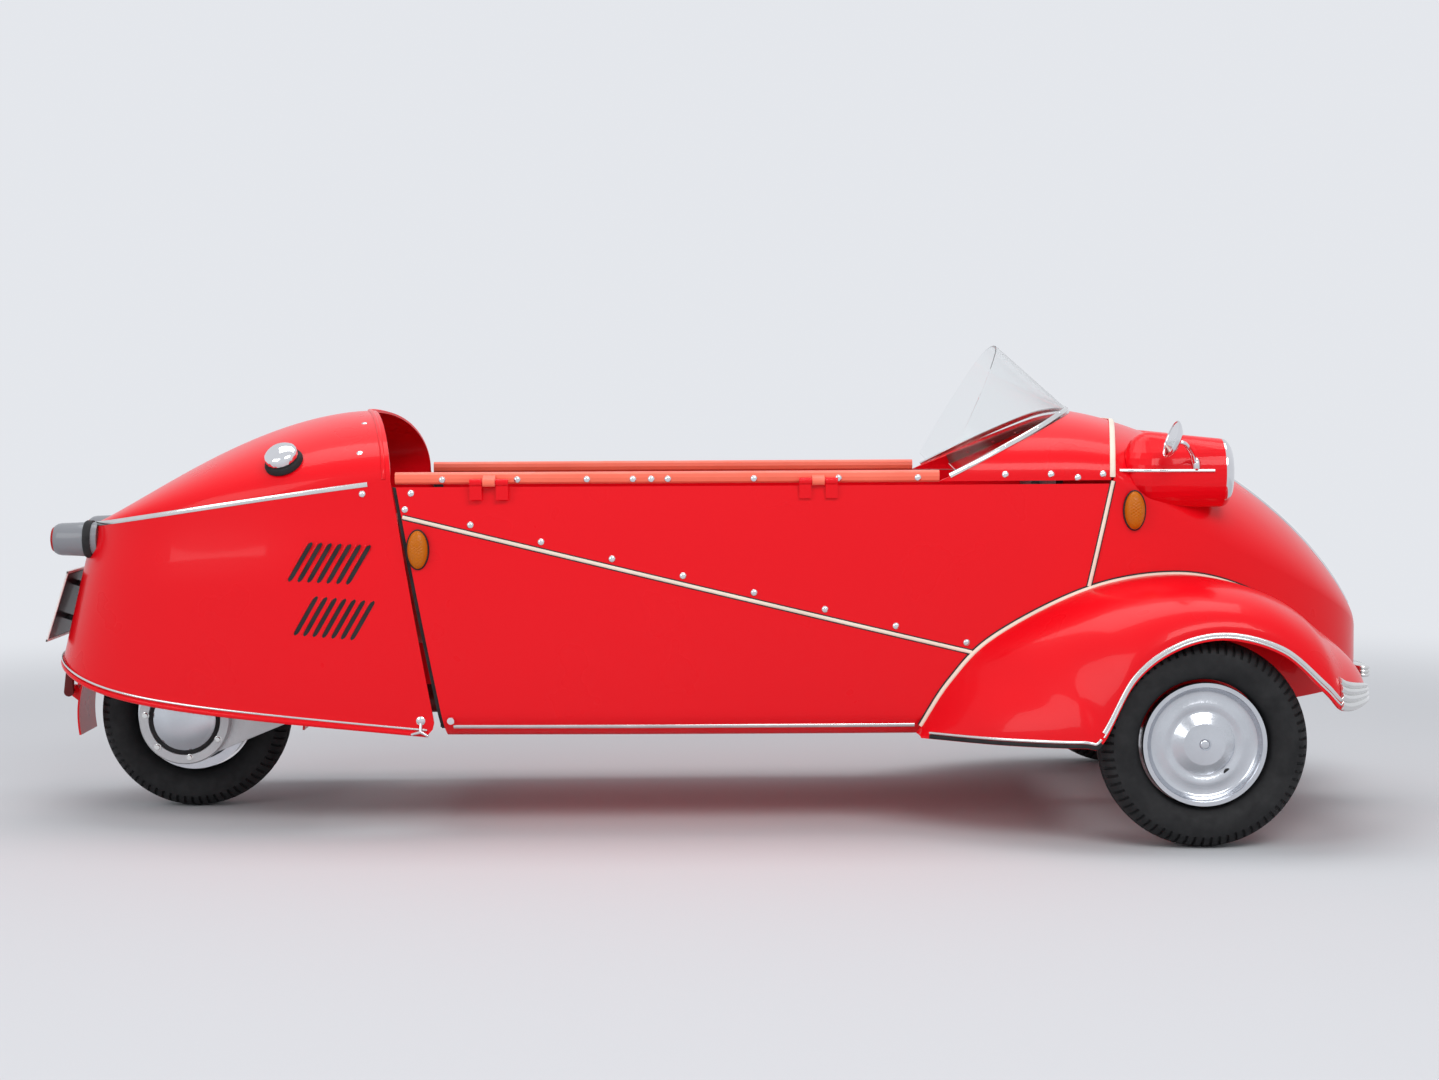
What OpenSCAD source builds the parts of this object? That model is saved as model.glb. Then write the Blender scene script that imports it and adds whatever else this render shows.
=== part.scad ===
// Three wheeled tandem roadster: two steered wheels in front, one driven wheel behind.
// Millimetres. +X is forward, +Y is the car's left, +Z is up.
// The origin is on the ground, at the middle of the car's length and width.

/* [Overall] */
// Length from the number plate's lower edge to the nose moulding
car_length = 2776; // [2500:2:3000]
// Width over the front fenders
car_width = 1220; // [1120:2:1320]
// Distance between the front axle and the rear axle
wheelbase = 2036; // [1900:1:2150]
// Front axle ahead of the origin
front_axle_x = 938; // [900:1:960]
// Distance between the middles of the front tyres
front_track = 1080; // [1060:1:1100]

/* [Body] */
// Half width of the body at its widest place
body_half_w = 385; // [360:1:400]
// Height of the tub's underside over the ground
tub_bottom_z = 190; // [170:1:220]
// Height of the waist, where the rails and the cowl's crease lie
waist_z = 700; // [680:1:740]
// Thickness of the tub's wall and floor
tub_wall = 5; // [4:0.5:8]
// Thickness of the nose, cowl and fender shells
skin = 5; // [4:0.5:8]
// Thickness of the side panels with their lining
panel_wall = 12; // [8:0.5:16]
// Open gap between panels that move
panel_gap = 12; // [10:0.5:16]
// Gap before the rear cowl at the waist
cowl_gap_top = 9; // [7:0.5:12]
// Gap before the rear cowl at its foot
cowl_gap_foot = 19; // [16:0.5:24]
// Radius of the tub's lower corners
tub_corner = 55; // [30:1:70]
// Height of the diagonal joint at its rear end
diagonal_rear_z = 632; // [600:1:660]
// Height of the diagonal joint at its front end
diagonal_front_z = 355; // [330:1:380]
// Front end of the diagonal joint
diagonal_front_x = 521; // [480:1:560]

/* [Nose] */
// Top of the nose at the seam, before it falls away
nose_top_z = 835; // [800:1:870]
// Height of the nose's foremost line
nose_tip_z = 330; // [300:1:360]
// Height of the nose's lower edge in front
nose_bottom_z = 262; // [240:1:290]
// Where the nose profile starts to fall
nose_start_x = 700; // [680:1:720]

/* [Tail] */
// Top of the rear cowl over the arch
cowl_apex_z = 838; // [800:1:870]
// Height of the ridge where it meets the tail end
tail_top_z = 602; // [580:1:630]
// Height of the cowl's lower edge at the tail
tail_bottom_z = 318; // [290:1:340]

/* [Fenders] */
// Height of the fender's seam on the body over the axle
fender_seam_z = 508; // [480:1:540]
// Height of the top of the wheel opening
arch_top_z = 402; // [385:1:420]

/* [Windscreen] */
// Thickness of the clear sheet
screen_wall = 4; // [3:0.5:6]
// Height of the windscreen's peak
screen_peak_z = 970; // [900:1:1000]
// Peak behind the base at the middle
screen_rake = 155; // [120:1:190]

/* [Wheels] */
// Outer diameter of the tyres
tyre_d = 400; // [390:1:410]
// Width of the tyres
tyre_w = 104; // [90:1:110]
// Diameter of the rim where the tyre sits
rim_d = 236; // [220:1:250]
// Diameter of the stub axles
axle_d = 24; // [18:1:30]
// Radial play of every shaft in its bore
running_play = 0.05; // [0.02:0.01:0.09]
// Steering pivot inboard of the tyre's middle
kingpin_offset = 85; // [80:1:95]
// Diameter of the kingpins
kingpin_d = 16; // [12:1:20]

/* [Moving panels] */
// Diameter of the hinge pins
hinge_pin_d = 8; // [6:1:10]
// Hinge line of the rear cowl ahead of its tail end
cowl_hinge_in = 16; // [12:1:24]
// Height of the rear cowl's hinge line
cowl_hinge_z = 252; // [245:1:270]

/* [Cockpit] */
// Width of the driver's seat
driver_seat_w = 400; // [360:1:440]
// Width of the rear seat
rear_seat_w = 520; // [480:1:560]
// Top of both seat cushions
seat_top_z = 390; // [370:1:410]
// Thickness of the seat cushions
cushion_t = 100; // [80:1:120]

/* [Hidden] */

$fn = 48;
half_length = car_length / 2;
rear_axle_x = front_axle_x - wheelbase;
axle_z = tyre_d / 2;
wheel_y = front_track / 2;
kingpin_y = wheel_y - kingpin_offset;

// The body's side: widest at mid height, drawn in above, below and at both ends
side_mid_x = 100;
side_mid_z = 440;
side_reach = 700;
end_draw_in = 13;
side_draw_in = 18;
side_half_h = 255;
function side_y(x, z) = body_half_w
    - end_draw_in * pow((x - side_mid_x) / side_reach, 2)
    - side_draw_in * pow((z - side_mid_z) / side_half_h, 2);

// Seat of one piece on another
touch = 0.3;

// The joint behind the cockpit leans forward as it goes down
rear_joint_x = -635;
rear_joint_rake = 0.17;
function rear_joint(z) = rear_joint_x + rear_joint_rake * (waist_z - z);

// The joint before the cockpit leans back as it goes down
nose_seam_x = 798;
nose_seam_rake = 0.24;
nose_seam_top_rake = 0.5;
function nose_seam(z) = nose_seam_x
    + (z < waist_z ? nose_seam_rake : nose_seam_top_rake) * (z - waist_z);

// The diagonal joint along the side
diagonal_rear_x = rear_joint(diagonal_rear_z);
function diagonal(x) = diagonal_rear_z + (diagonal_front_z - diagonal_rear_z)
    * (x - diagonal_rear_x) / (diagonal_front_x - diagonal_rear_x);

// Superellipse quarter: 1 at u = 0, falling to 0 at u = 1
function fall(u, n) = pow(max(0, 1 - pow(min(1, max(0, u)), n)), 1 / n);
function mix(a, b, t) = a + (b - a) * t;
function cosp(a, n) = sign(cos(a)) * pow(abs(cos(a)), 2 / n);
function sinp(a, n) = sign(sin(a)) * pow(abs(sin(a)), 2 / n);

// A smooth curve through a few points, s from 0 to 1
function curve_part(a, b, c, d, t) = 0.5 * (2 * b + (c - a) * t
    + (2 * a - 5 * b + 4 * c - d) * t * t + (3 * b - a - 3 * c + d) * t * t * t);
function curve(p, s) = let(k = len(p) - 1, q = min(k - 0.000001, max(0, s * k)), i = floor(q))
    curve_part(i > 0 ? p[i - 1] : 2 * p[0] - p[1], p[i], p[i + 1],
        i + 2 <= k ? p[i + 2] : 2 * p[k] - p[k - 1], q - i);

// A sheet with a thickness, from a grid of rows of points
function unit(v) = v / norm(v);
function clamp(i, n) = max(0, min(n - 1, i));
function normal_at(g, i, j) = let(n = len(g), m = len(g[0])) unit(cross(
    g[clamp(i + 1, n)][j] - g[clamp(i - 1, n)][j], g[i][clamp(j + 1, m)] - g[i][clamp(j - 1, m)]));
function inset(g, t) = [for (i = [0:len(g) - 1]) [for (j = [0:len(g[0]) - 1])
    g[i][j] - t * normal_at(g, i, j)]];
function join(g) = [for (row = g) each row];
function quad(a, b, c, d) = [[a, b, c], [a, c, d]];
function grid_faces(n, m, k, turn) = [for (i = [0:n - 2], j = [0:m - 2])
    let(a = k + i * m + j, b = a + 1, c = b + m, d = a + m)
    each (turn ? quad(a, d, c, b) : quad(a, b, c, d))];
function strip_faces(loop, k) = [for (i = [0:len(loop) - 1])
    let(a = loop[i], b = loop[(i + 1) % len(loop)]) each quad(b, a, a + k, b + k)];
function zip_faces(n, m, k, turn) = let(r = k + (n - 1) * m)
    [for (j = [0:(m - 3) / 2]) let(a = r + j, b = r + j + 1, c = r + m - 2 - j, d = r + m - 1 - j)
        each (b == c ? [turn ? [a, d, b] : [a, b, d]] : turn ? quad(a, d, c, b) : quad(a, b, c, d))];
function rim_loop(n, m, zipped) = concat([for (j = [0:m - 1]) j],
    [for (i = [1:n - 1]) i * m + m - 1],
    zipped ? [] : [for (j = [m - 2:-1:0]) (n - 1) * m + j],
    [for (i = [n - (zipped ? 1 : 2):-1:1]) i * m]);

module sheet(outer, wall, zipped = false)
    shell(outer, inset(outer, wall), zipped);
module shell(outer, inner, zipped = false) {
    n = len(outer);
    m = len(outer[0]);
    k = n * m;
    polyhedron(concat(join(outer), join(inner)), concat(
        grid_faces(n, m, 0, false), grid_faces(n, m, k, true),
        zipped ? concat(zip_faces(n, m, 0, false), zip_faces(n, m, k, true)) : [],
        strip_faces(rim_loop(n, m, zipped), k)));
}

function rows_of(g, first, last) = [for (i = [first:last]) g[i]];
// The space that a zipped grid of ribs encloses, to trim what stands on it
module filled(outer) {
    n = len(outer);
    m = len(outer[0]);
    heart = [for (k = [0:2]) (outer[0][0][k] + outer[0][m - 1][k] + 2 * outer[0][(m - 1) / 2][k]) / 4];
    polyhedron(concat(join(outer), [heart]), concat(
        grid_faces(n, m, 0, false), zip_faces(n, m, 0, false),
        [for (i = [0:n - 2]) let(a = i * m + m - 1, b = i * m) each quad(a, b, b + m, a + m)],
        [for (j = [0:m - 1]) [(j + 1) % m, j, n * m]]));
}

// A round bar between two points
module bar(a, b, d) {
    v = b - a;
    translate(a)
        rotate([0, acos(v.z / norm(v)), atan2(v.y, v.x)])
            cylinder(d = d, h = norm(v));
}

// A cylinder along Y
module across(x, y0, y1, z, d) {
    translate([x, y0, z])
        rotate([-90, 0, 0])
            cylinder(d = d, h = y1 - y0);
}

// A box from its lowest to its highest corner
module box(a, b) {
    translate(a)
        cube(b - a);
}

// The right side's piece, and its mirror image on the left
module both() {
    children();
    mirror([0, 1, 0])
        children();
}

// ---------- tub and frame ----------
column_foot = [640, 0, 290];
column_head = [400, 0, 600];
column_d = 24;
bar_half_w = 190;
function column_point(t) = column_foot + t * (column_head - column_foot);
frame_tube_d = 60;
frame_tube_z = tub_bottom_z + tub_wall + frame_tube_d / 2;
cross_tube_d = 50;
arm_root_y = 215;
module chassis_frame() color("firebrick") {
    bar([front_axle_x - 90, 0, frame_tube_z], [rear_bulkhead_x - 7.7, 0, frame_tube_z], frame_tube_d);
    difference() {
        union() {
            bar(column_point(0.02), column_point(0.16), 44);
            box([column_foot.x - 40, -14, frame_tube_z], [column_foot.x + 6, 14, column_foot.z + 8]);
        }
        bar(column_point(-0.2), column_point(1), column_d + 2 * running_play);
    }
    across(front_axle_x, -arm_root_y, arm_root_y, axle_z + 12, cross_tube_d);
    bar([front_axle_x - 92, 0, frame_tube_z], [front_axle_x + 4, 0, axle_z + 14], cross_tube_d - 4);
}

side_rows = 16;
corner_steps = 4;
wall_steps = 6;
function tub_top(x) = max(diagonal(x), x < diagonal_front_x ? 0 : fender_seam(x));
function fender_seam(x) = curve_z(fender_inner, x);
function curve_z(p, x) = let(k = max([for (i = [0:40]) curve(p, i / 40).x <= x ? i : 0]),
    a = curve(p, k / 40), b = curve(p, min(1, (k + 1) / 40)))
    a.z + (b.z - a.z) * (b.x > a.x ? min(1, (x - a.x) / (b.x - a.x)) : 0);
function cockpit_end(z) = rear_joint(z)
    + mix(cowl_gap_foot, cowl_gap_top, (z - tub_bottom_z) / (waist_z - tub_bottom_z));
seam_gap = 0.9;
function tub_x(t, z) = mix(cockpit_end(z), nose_seam(z) - seam_gap, t);
function tub_edge(t, side, z, k = 5) = k == 0 ? z
    : tub_edge(t, side, tub_top(tub_x(t, z)) - (side > 0 ? panel_gap / 2 : touch), k - 1);
function tub_side(t, side) = [for (k = [0:wall_steps])
    let(z = mix(tub_edge(t, side, 450), tub_bottom_z + tub_corner, k / wall_steps), x = tub_x(t, z))
    [x, side * side_y(x, z), z]];
function tub_corner_row(t, side) = [for (k = [1:corner_steps])
    let(a = 90 * k / corner_steps, z = tub_bottom_z + tub_corner * (1 - sin(a)), x = tub_x(t, z))
    [x, side * (side_y(x, tub_bottom_z + tub_corner) - tub_corner * (1 - cos(a))), z]];
function reversed(p) = [for (i = [len(p) - 1:-1:0]) p[i]];
function tub_row(t) = concat(tub_side(t, -1), tub_corner_row(t, -1),
    reversed(tub_corner_row(t, 1)), reversed(tub_side(t, 1)));
module tub() color("red")
    sheet([for (i = [side_rows:-1:0]) tub_row(i / side_rows)], tub_wall);

// A side panel from one height line to another between the two joints
panel_cols = 5;
fixed_panel_top_z = waist_z - 11;
moving_panel_top_z = waist_z - 4.6;
function panel_low(x, side) = tub_top(x) + (side > 0 ? panel_gap / 2 : touch);
function panel_front(z, side) = nose_seam(z) - (side > 0 ? panel_gap / 2 : seam_gap);
function panel_x(t, side, z) = mix(cockpit_end(z), panel_front(z, side), t);
function panel_edge(t, side, z, k = 5) = k == 0 ? z
    : panel_edge(t, side, panel_low(panel_x(t, side, z), side), k - 1);
function panel_grid(side) = [for (i = [0:side_rows]) [for (j = [0:panel_cols])
    let(t = i / side_rows, top = side > 0 ? moving_panel_top_z : fixed_panel_top_z,
        z = mix(panel_edge(t, side, 450), top, j / panel_cols), x = panel_x(t, side, z))
    [x, side * side_y(x, z), z]]];
module right_side_panel() color("red")
    sheet(panel_grid(-1), panel_wall);
module left_side_panel() color("red")
    sheet(reversed(panel_grid(1)), panel_wall);

rear_bulkhead_x = -679.7;
front_bulkhead_x = 735;
bulkhead_half_w = body_half_w - 85;
front_bulkhead_half_w = body_half_w - 55;
shelf_z = 592;
module bulkheads() color("maroon") {
    difference() {
        union() {
            box([rear_bulkhead_x, -bulkhead_half_w, tub_bottom_z + 20],
                [rear_bulkhead_x + 8, bulkhead_half_w, shelf_z]);
            box([rear_bulkhead_x - 60, -bulkhead_half_w, shelf_z - 8],
                [rear_bulkhead_x + 8, bulkhead_half_w, shelf_z]);
        }
        bar([rear_bulkhead_x - 9, 0, frame_tube_z], [rear_bulkhead_x + 20, 0, frame_tube_z], frame_tube_d + 0.6);
    }
    difference() {
        box([front_bulkhead_x, -front_bulkhead_half_w, floor_z + 60],
            [front_bulkhead_x + 6, front_bulkhead_half_w, 640]);
        bar([front_bulkhead_x - 1, 0, frame_tube_z], [front_bulkhead_x + 20, 0, frame_tube_z], frame_tube_d + 0.6);
    }
}

// ---------- nose ----------
nose_tip_x = half_length - 28;
nose_profile_x = half_length - 12;
nose_plan_start_x = 600;
nose_exp = 1.6;
plan_exp = 2.1;
nose_rows = 16;
nose_half_cols = 14;
nose_side_cols = 6;
rib_spacing = 1.6;
nose_seam_lead = 50;
arch_exp = 2.2;
nose_bottom_rear_z = 215;
function nose_profile_z(x) = nose_tip_z + (nose_top_z - nose_tip_z)
    * fall((x - nose_start_x) / (nose_profile_x - nose_start_x), nose_exp);
// The nose's ribs, s from 0 at the seam to 1 at the front
function shoulder_x(s) = mix(nose_seam_x, nose_tip_x - 1.5, 1 - pow(1 - s, rib_spacing));
function shoulder_z(s) = mix(waist_z, nose_tip_z + 40, pow(s, 0.75));
function nose_taper(s) = nose_plan(shoulder_x(s)) / nose_plan(nose_seam_x);
function nose_plan(x) = fall((x - nose_plan_start_x) / (nose_tip_x - nose_plan_start_x), plan_exp);
function crown_exp(s) = mix(arch_exp, 1.75, min(1, 3 * s));
function lower_x(s, z) = shoulder_x(s) + nose_seam_rake * (1 - s) * (z - waist_z);
// A rib's point: c from -1 at the lower edge by 0 at the shoulder to 1 at the ridge
function nose_rib(s, c) = let(zw = shoulder_z(s), zb = mix(nose_bottom_rear_z, nose_bottom_z, s),
    yw = side_y(nose_seam_x, zw) * nose_taper(s), xw = lower_x(s, zw),
    xr = mix(nose_seam_x + nose_seam_lead, nose_tip_x - 3, 1 - pow(1 - s, rib_spacing)),
    n = crown_exp(s), a = 90 * c, z = mix(zw, zb, -c))
    c < 0 ? [lower_x(s, z), side_y(nose_seam_x, z) * nose_taper(s), z]
        : [mix(xw, xr, 1 - cosp(a, n)), yw * cosp(a, n), zw + (nose_profile_z(xr) - zw) * sinp(a, n)];
// Half width of the nose at a place on its side
function rib_at(x, z, s = 0.3, k = 6) = k == 0 ? s : rib_at(x, z, 1 - pow(max(0, 1 - max(0,
    x - nose_seam_rake * (1 - s) * (z - waist_z) - nose_seam_x) / (nose_tip_x - nose_seam_x)),
    1 / rib_spacing), k - 1);
function nose_y(x, z) = let(s = rib_at(x, z), zw = shoulder_z(s)) nose_taper(s)
    * (z < zw ? side_y(nose_seam_x, z) : side_y(nose_seam_x, zw)
        * fall((z - zw) / (nose_profile_z(x) - zw), crown_exp(s)));
function body_y(x, z) = x < nose_seam(z) ? side_y(x, z) : nose_y(x, z);
function nose_row(s) = let(
    half = [for (k = [-nose_side_cols:nose_half_cols - 1])
        nose_rib(s, k < 0 ? k / nose_side_cols : k / nose_half_cols)],
    top = nose_rib(s, 1))
    concat([for (p = half) [p.x, -p.y, p.z]], [[top.x, 0, top.z]], reversed(half));
nose_grid = [for (i = [0:nose_rows]) nose_row(i / nose_rows)];
module nose_shell() color("red")
    sheet(nose_grid, skin, true);

pod_share = 0.4704;
pod_x1 = mix(nose_start_x, nose_profile_x, pod_share);
pod_y = body_half_w - 81;
pod_z = 708;
pod_d = 136;
pod_crown = [pod_x1 - 140, -pod_y + 14, pod_z + 35];
pod_flank = [pod_x1 - 134, -pod_y + 8, pod_z - 3];
module headlamp_pods() color("red") both()
    difference() {
        hull() {
            translate([pod_x1 - 14, -pod_y, pod_z])
                rotate([0, 90, 0])
                    cylinder(d = pod_d, h = 14);
            translate(pod_crown)
                sphere(d = 94, $fn = 32);
            translate(pod_flank)
                sphere(d = 140, $fn = 32);
        }
        translate([pod_x1 - 40, -pod_y, pod_z])
            rotate([0, 90, 0])
                cylinder(d = pod_d - 24, h = 60);
        filled(rows_of(inset(nose_grid, -touch), 0, nose_rows / 2));
    }

lamp_d = 128;
module headlamps() color("white") both()
    translate([pod_x1 - 30, -pod_y, pod_z])
        rotate([0, 90, 0])
            rotate_extrude()
                polygon([[0, 10], [pod_d / 2 - 14, 10], [pod_d / 2 - 14, 30.3], [lamp_d / 2, 30.3],
                    [lamp_d / 2, 36], [44, 48], [22, 54], [0, 56]]);

front_indicator_x = 838;
front_indicator_z = 636;
rear_indicator_x = -580;
rear_indicator_z = 566;
module indicator(x, z, y)
    translate([x, -y - touch, z])
        rotate([90, 0, 0])
            hull()
                for (dz = [-20, 20])
                    translate([0, dz, 0])
                        cylinder(d1 = 36, d2 = 24, h = 24, $fn = 32);
module indicators() color("orange") both() {
    indicator(front_indicator_x, front_indicator_z, nose_y(front_indicator_x - 18, front_indicator_z - 20));
    indicator(rear_indicator_x, rear_indicator_z, side_y(rear_indicator_x + 12, rear_indicator_z - 28));
}

// ---------- fenders ----------
fender_y = car_width / 2;
// Inner edge on the body, from the rear foot over the wheel to the front
fender_inner = [for (p = [[405, 196], [470, 300], [560, 390], [746, 482], [919, fender_seam_z],
    [1060, 478], [1190, 400], [1290, 300]]) [p.x, 0, p.y]];
fender_gap = 0.6;
function fender_root(t) = let(p = curve(fender_inner, t)) [p.x, -body_y(p.x, p.z) - fender_gap, p.z];
// Outer edge: the sill, round the wheel opening, then along the front
fender_outer = [[412, -398, 190], [560, -520, 192], [700, -596, 196], [740, -fender_y + 8, 205],
    [800, -fender_y, 320], [880, -fender_y, 382], [975, -fender_y, arch_top_z], [1080, -fender_y, 372],
    [1160, -fender_y + 6, 300], [1205, -570, 262], [1275, -450, 262], [1320, -250, 262]];
fender_rows = 33;
fender_cols = 9;
fender_exp = 2.3;
function fender_point(t, c) = let(
    i = fender_root(t), o = curve(fender_outer, t), a = 90 * c)
    [mix(i.x, o.x, sinp(a, fender_exp)), max(-fender_y, mix(i.y, o.y, sinp(a, fender_exp))),
        mix(o.z, i.z, cosp(a, fender_exp))];
fender_grid = [for (i = [fender_rows:-1:0]) [for (j = [0:fender_cols])
    fender_point(i / fender_rows, j / fender_cols)]];
// The same grid held off the body's side
function off_body(g) = [for (row = g) [for (p = row)
    [p.x, min(p.y, -body_y(p.x, p.z) - fender_gap), p.z]]];
module fender()
    shell(off_body(fender_grid), off_body(inset(fender_grid, skin)));
module right_front_fender() color("red")
    fender();
module left_front_fender() color("red")
    mirror([0, 1, 0])
        fender();

moulding_t0 = 0.8;
moulding_t1 = 0.97;
moulding_c0 = 0.8;
moulding_wall = 6;
moulding_rows = 16;
moulding_cols = 5;
module fender_mouldings() color("silver") both()
    sheet(inset(reversed([for (i = [0:moulding_rows]) [for (j = [0:moulding_cols])
        fender_point(mix(moulding_t0, moulding_t1, i / moulding_rows), mix(moulding_c0, 1, j / moulding_cols))]]),
        -moulding_wall - 2 * touch), moulding_wall);

nose_moulding_d = half_length - nose_tip_x + 1;
module nose_moulding() color("silver")
    hull() {
        for (y = [-44, 44])
            translate([half_length - nose_moulding_d / 2, y, nose_bottom_z + 4])
                cylinder(d = nose_moulding_d, h = 24);
    }

mirror_foot = [pod_x1 - 65, -pod_y - 64.3, pod_z + 22.9];
mirror_head = [pod_x1 - 114, -pod_y - 118, pod_z + 68];
mirror_d = 80;
module door_mirror() color("silver") {
    bar(mirror_foot, mirror_head, 9);
    translate(mirror_head)
        rotate([0, 110, 7])
            cylinder(d = mirror_d, h = 12, center = true);
}

// ---------- cockpit ----------
module dashboard() color("dimgray") {
    box([690, -bulkhead_half_w, 600], [704, bulkhead_half_w, 735]);
    box([703, -bulkhead_half_w, 600], [front_bulkhead_x - touch, bulkhead_half_w, 632]);
    translate([690.2, 0, 672])
        rotate([0, -90, 0])
            cylinder(d = 90, h = 18);
}

floor_z = tub_bottom_z + tub_wall;
module pedals() color("dimgray")
    for (y = [-150, -85, 110])
        translate([655, y, floor_z + 0.2]) {
            box([0, -25, 0], [30, 25, 12]);
            bar([15, 0, 6], [-25, 0, 110], 12);
            translate([-34, -27, 100])
                rotate([0, -20, 0])
                    cube([10, 54, 60]);
        }

gear_x = 210;
gear_z = floor_z + 50;
module gear_lever() color("dimgray") {
    gate_y = -side_y(gear_x, gear_z) + tub_wall + touch;
    box([gear_x - 30, gate_y, gear_z], [gear_x + 30, gate_y + 26, gear_z + 100]);
    translate([gear_x, gate_y + 14, gear_z + 90]) {
        cylinder(d = 12, h = 142);
        translate([0, 0, 136])
            cylinder(d1 = 20, d2 = 28, h = 34);
    }
}

driver_seat_x0 = -110;
driver_seat_x1 = 300;
rear_seat_x0 = -560;
rear_seat_x1 = -250;
seat_bottom_z = seat_top_z - cushion_t;
seat_tube_d = 20;
back_lean = 16;
back_t = 66;
back_x = driver_seat_x0 - 6;
back_z = seat_top_z - 50;
// A place on the driver's backrest: u forward of its hinge line, v up along it
function back_point(y, u, v) = [back_x + u * cos(back_lean) - v * sin(back_lean), y,
    back_z + u * sin(back_lean) + v * cos(back_lean)];
module seat_frames() color("gray") {
    for (y = [-driver_seat_w / 2 + 40, driver_seat_w / 2 - 40]) {
        z = seat_bottom_z - seat_tube_d / 2 + 0.2;
        bar([driver_seat_x0 - 66, y, z], [driver_seat_x1 - 20, y, z], seat_tube_d);
        for (x = [driver_seat_x0 + 40, driver_seat_x1 - 50])
            bar([x, y, floor_z + touch], [x, y, z], seat_tube_d - 2);
        bar(back_point(y, 6 - back_t - seat_tube_d / 2 + 0.7, -44),
            back_point(y, 6 - back_t - seat_tube_d / 2 + 0.7, 290), seat_tube_d - 2);
    }
    difference() {
        box([rear_seat_x0 + 6, -rear_seat_w / 2 + 20, floor_z + touch],
            [rear_seat_x1 - 30, rear_seat_w / 2 - 20, seat_bottom_z + 0.2]);
        bar([rear_seat_x0, 0, frame_tube_z], [rear_seat_x1, 0, frame_tube_z], frame_tube_d + 0.6);
        box([rear_seat_x0, -frame_tube_d / 2 - 0.3, floor_z - 1],
            [rear_seat_x1, frame_tube_d / 2 + 0.3, frame_tube_z]);
    }
}

module padded_box(a, b, r) {
    hull()
        for (x = [a.x + r, b.x - r], y = [a.y + r, b.y - r], z = [a.z + r, b.z - r])
            translate([x, y, z])
                sphere(r, $fn = 16);
}
module driver_cushion() color("darkred")
    padded_box([driver_seat_x0, -driver_seat_w / 2, seat_bottom_z],
        [driver_seat_x1, driver_seat_w / 2, seat_top_z], 24);
module rear_cushion() color("darkred")
    padded_box([rear_seat_x0, -rear_seat_w / 2, seat_bottom_z],
        [rear_seat_x1, rear_seat_w / 2, seat_top_z], 24);
module driver_backrest() color("darkred")
    translate([back_x, 0, back_z])
        rotate([0, -back_lean, 0])
            padded_box([6 - back_t, -driver_seat_w / 2, 16], [6, driver_seat_w / 2, 330], 22);
module rear_backrest() color("darkred")
    translate([rear_seat_x0 + 2, 0, seat_top_z - 40])
        rotate([0, -10, 0])
            padded_box([-70, -rear_seat_w / 2, 14], [-4, rear_seat_w / 2, 300], 22);

// ---------- drive ----------
module engine_block() color("gray")
    box([rear_axle_x + guard_r + guard_wall + touch, case_y1 + touch, axle_z + 12],
        [rear_bulkhead_x - 8.3, 150, 520]);

case_y0 = -132;
case_y1 = -72;
module chain_case() color("silver")
    difference() {
        union() {
            across(rear_axle_x, case_y0, case_y1, axle_z, 190);
            hull() {
                across(rear_axle_x + 40, case_y0 + 14, case_y1, axle_z, 150);
                across(rear_axle_x + 232, case_y0 + 20, case_y1, axle_z + 42, 84);
            }
        }
        across(rear_axle_x, case_y0 + 30, case_y1 + 1, axle_z, axle_d + 2 * running_play);
    }

guard_r = 236;
guard_half_w = 68;
guard_wall = 4;
guard_lug = [rear_axle_x - guard_r + 0.5, axle_z + 38];
module rear_mudguard() color("red") {
    translate([rear_axle_x, guard_half_w, axle_z])
        rotate([90, 0, 0])
            rotate([0, 0, -8])
                rotate_extrude(angle = 198)
                    translate([guard_r, 0])
                        square([guard_wall, 2 * guard_half_w]);
    for (y = [-40, 40])
        difference() {
            hull() {
                across(cowl_hinge_x, y - 8, y + 8, cowl_hinge_z, 22);
                across(guard_lug.x, y - 8, y + 8, guard_lug.y, 22);
            }
            across(rear_axle_x, y - 9, y + 9, axle_z, 2 * guard_r + 2);
            across(cowl_hinge_x, y - 9, y + 9, cowl_hinge_z, hinge_pin_d + 2 * running_play);
        }
}

module suspension_arm() {
    difference() {
        union() {
            bar([front_axle_x, -arm_root_y, axle_z + 12], [front_axle_x, -kingpin_y + 6, axle_z], 30);
            translate([front_axle_x, -kingpin_y, axle_z - 34])
                cylinder(d = 30, h = 68);
        }
        translate([front_axle_x, -kingpin_y, axle_z - 60])
            cylinder(d = kingpin_d + 2 * running_play, h = 120);
        across(front_axle_x, -arm_root_y, arm_root_y, axle_z + 12, cross_tube_d + 30);
    }
    across(front_axle_x, -arm_root_y - 16, -arm_root_y - 0.01, axle_z + 12, cross_tube_d);
}
module right_suspension_arm() color("dimgray")
    suspension_arm();
module left_suspension_arm() color("dimgray")
    mirror([0, 1, 0])
        suspension_arm();

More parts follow.
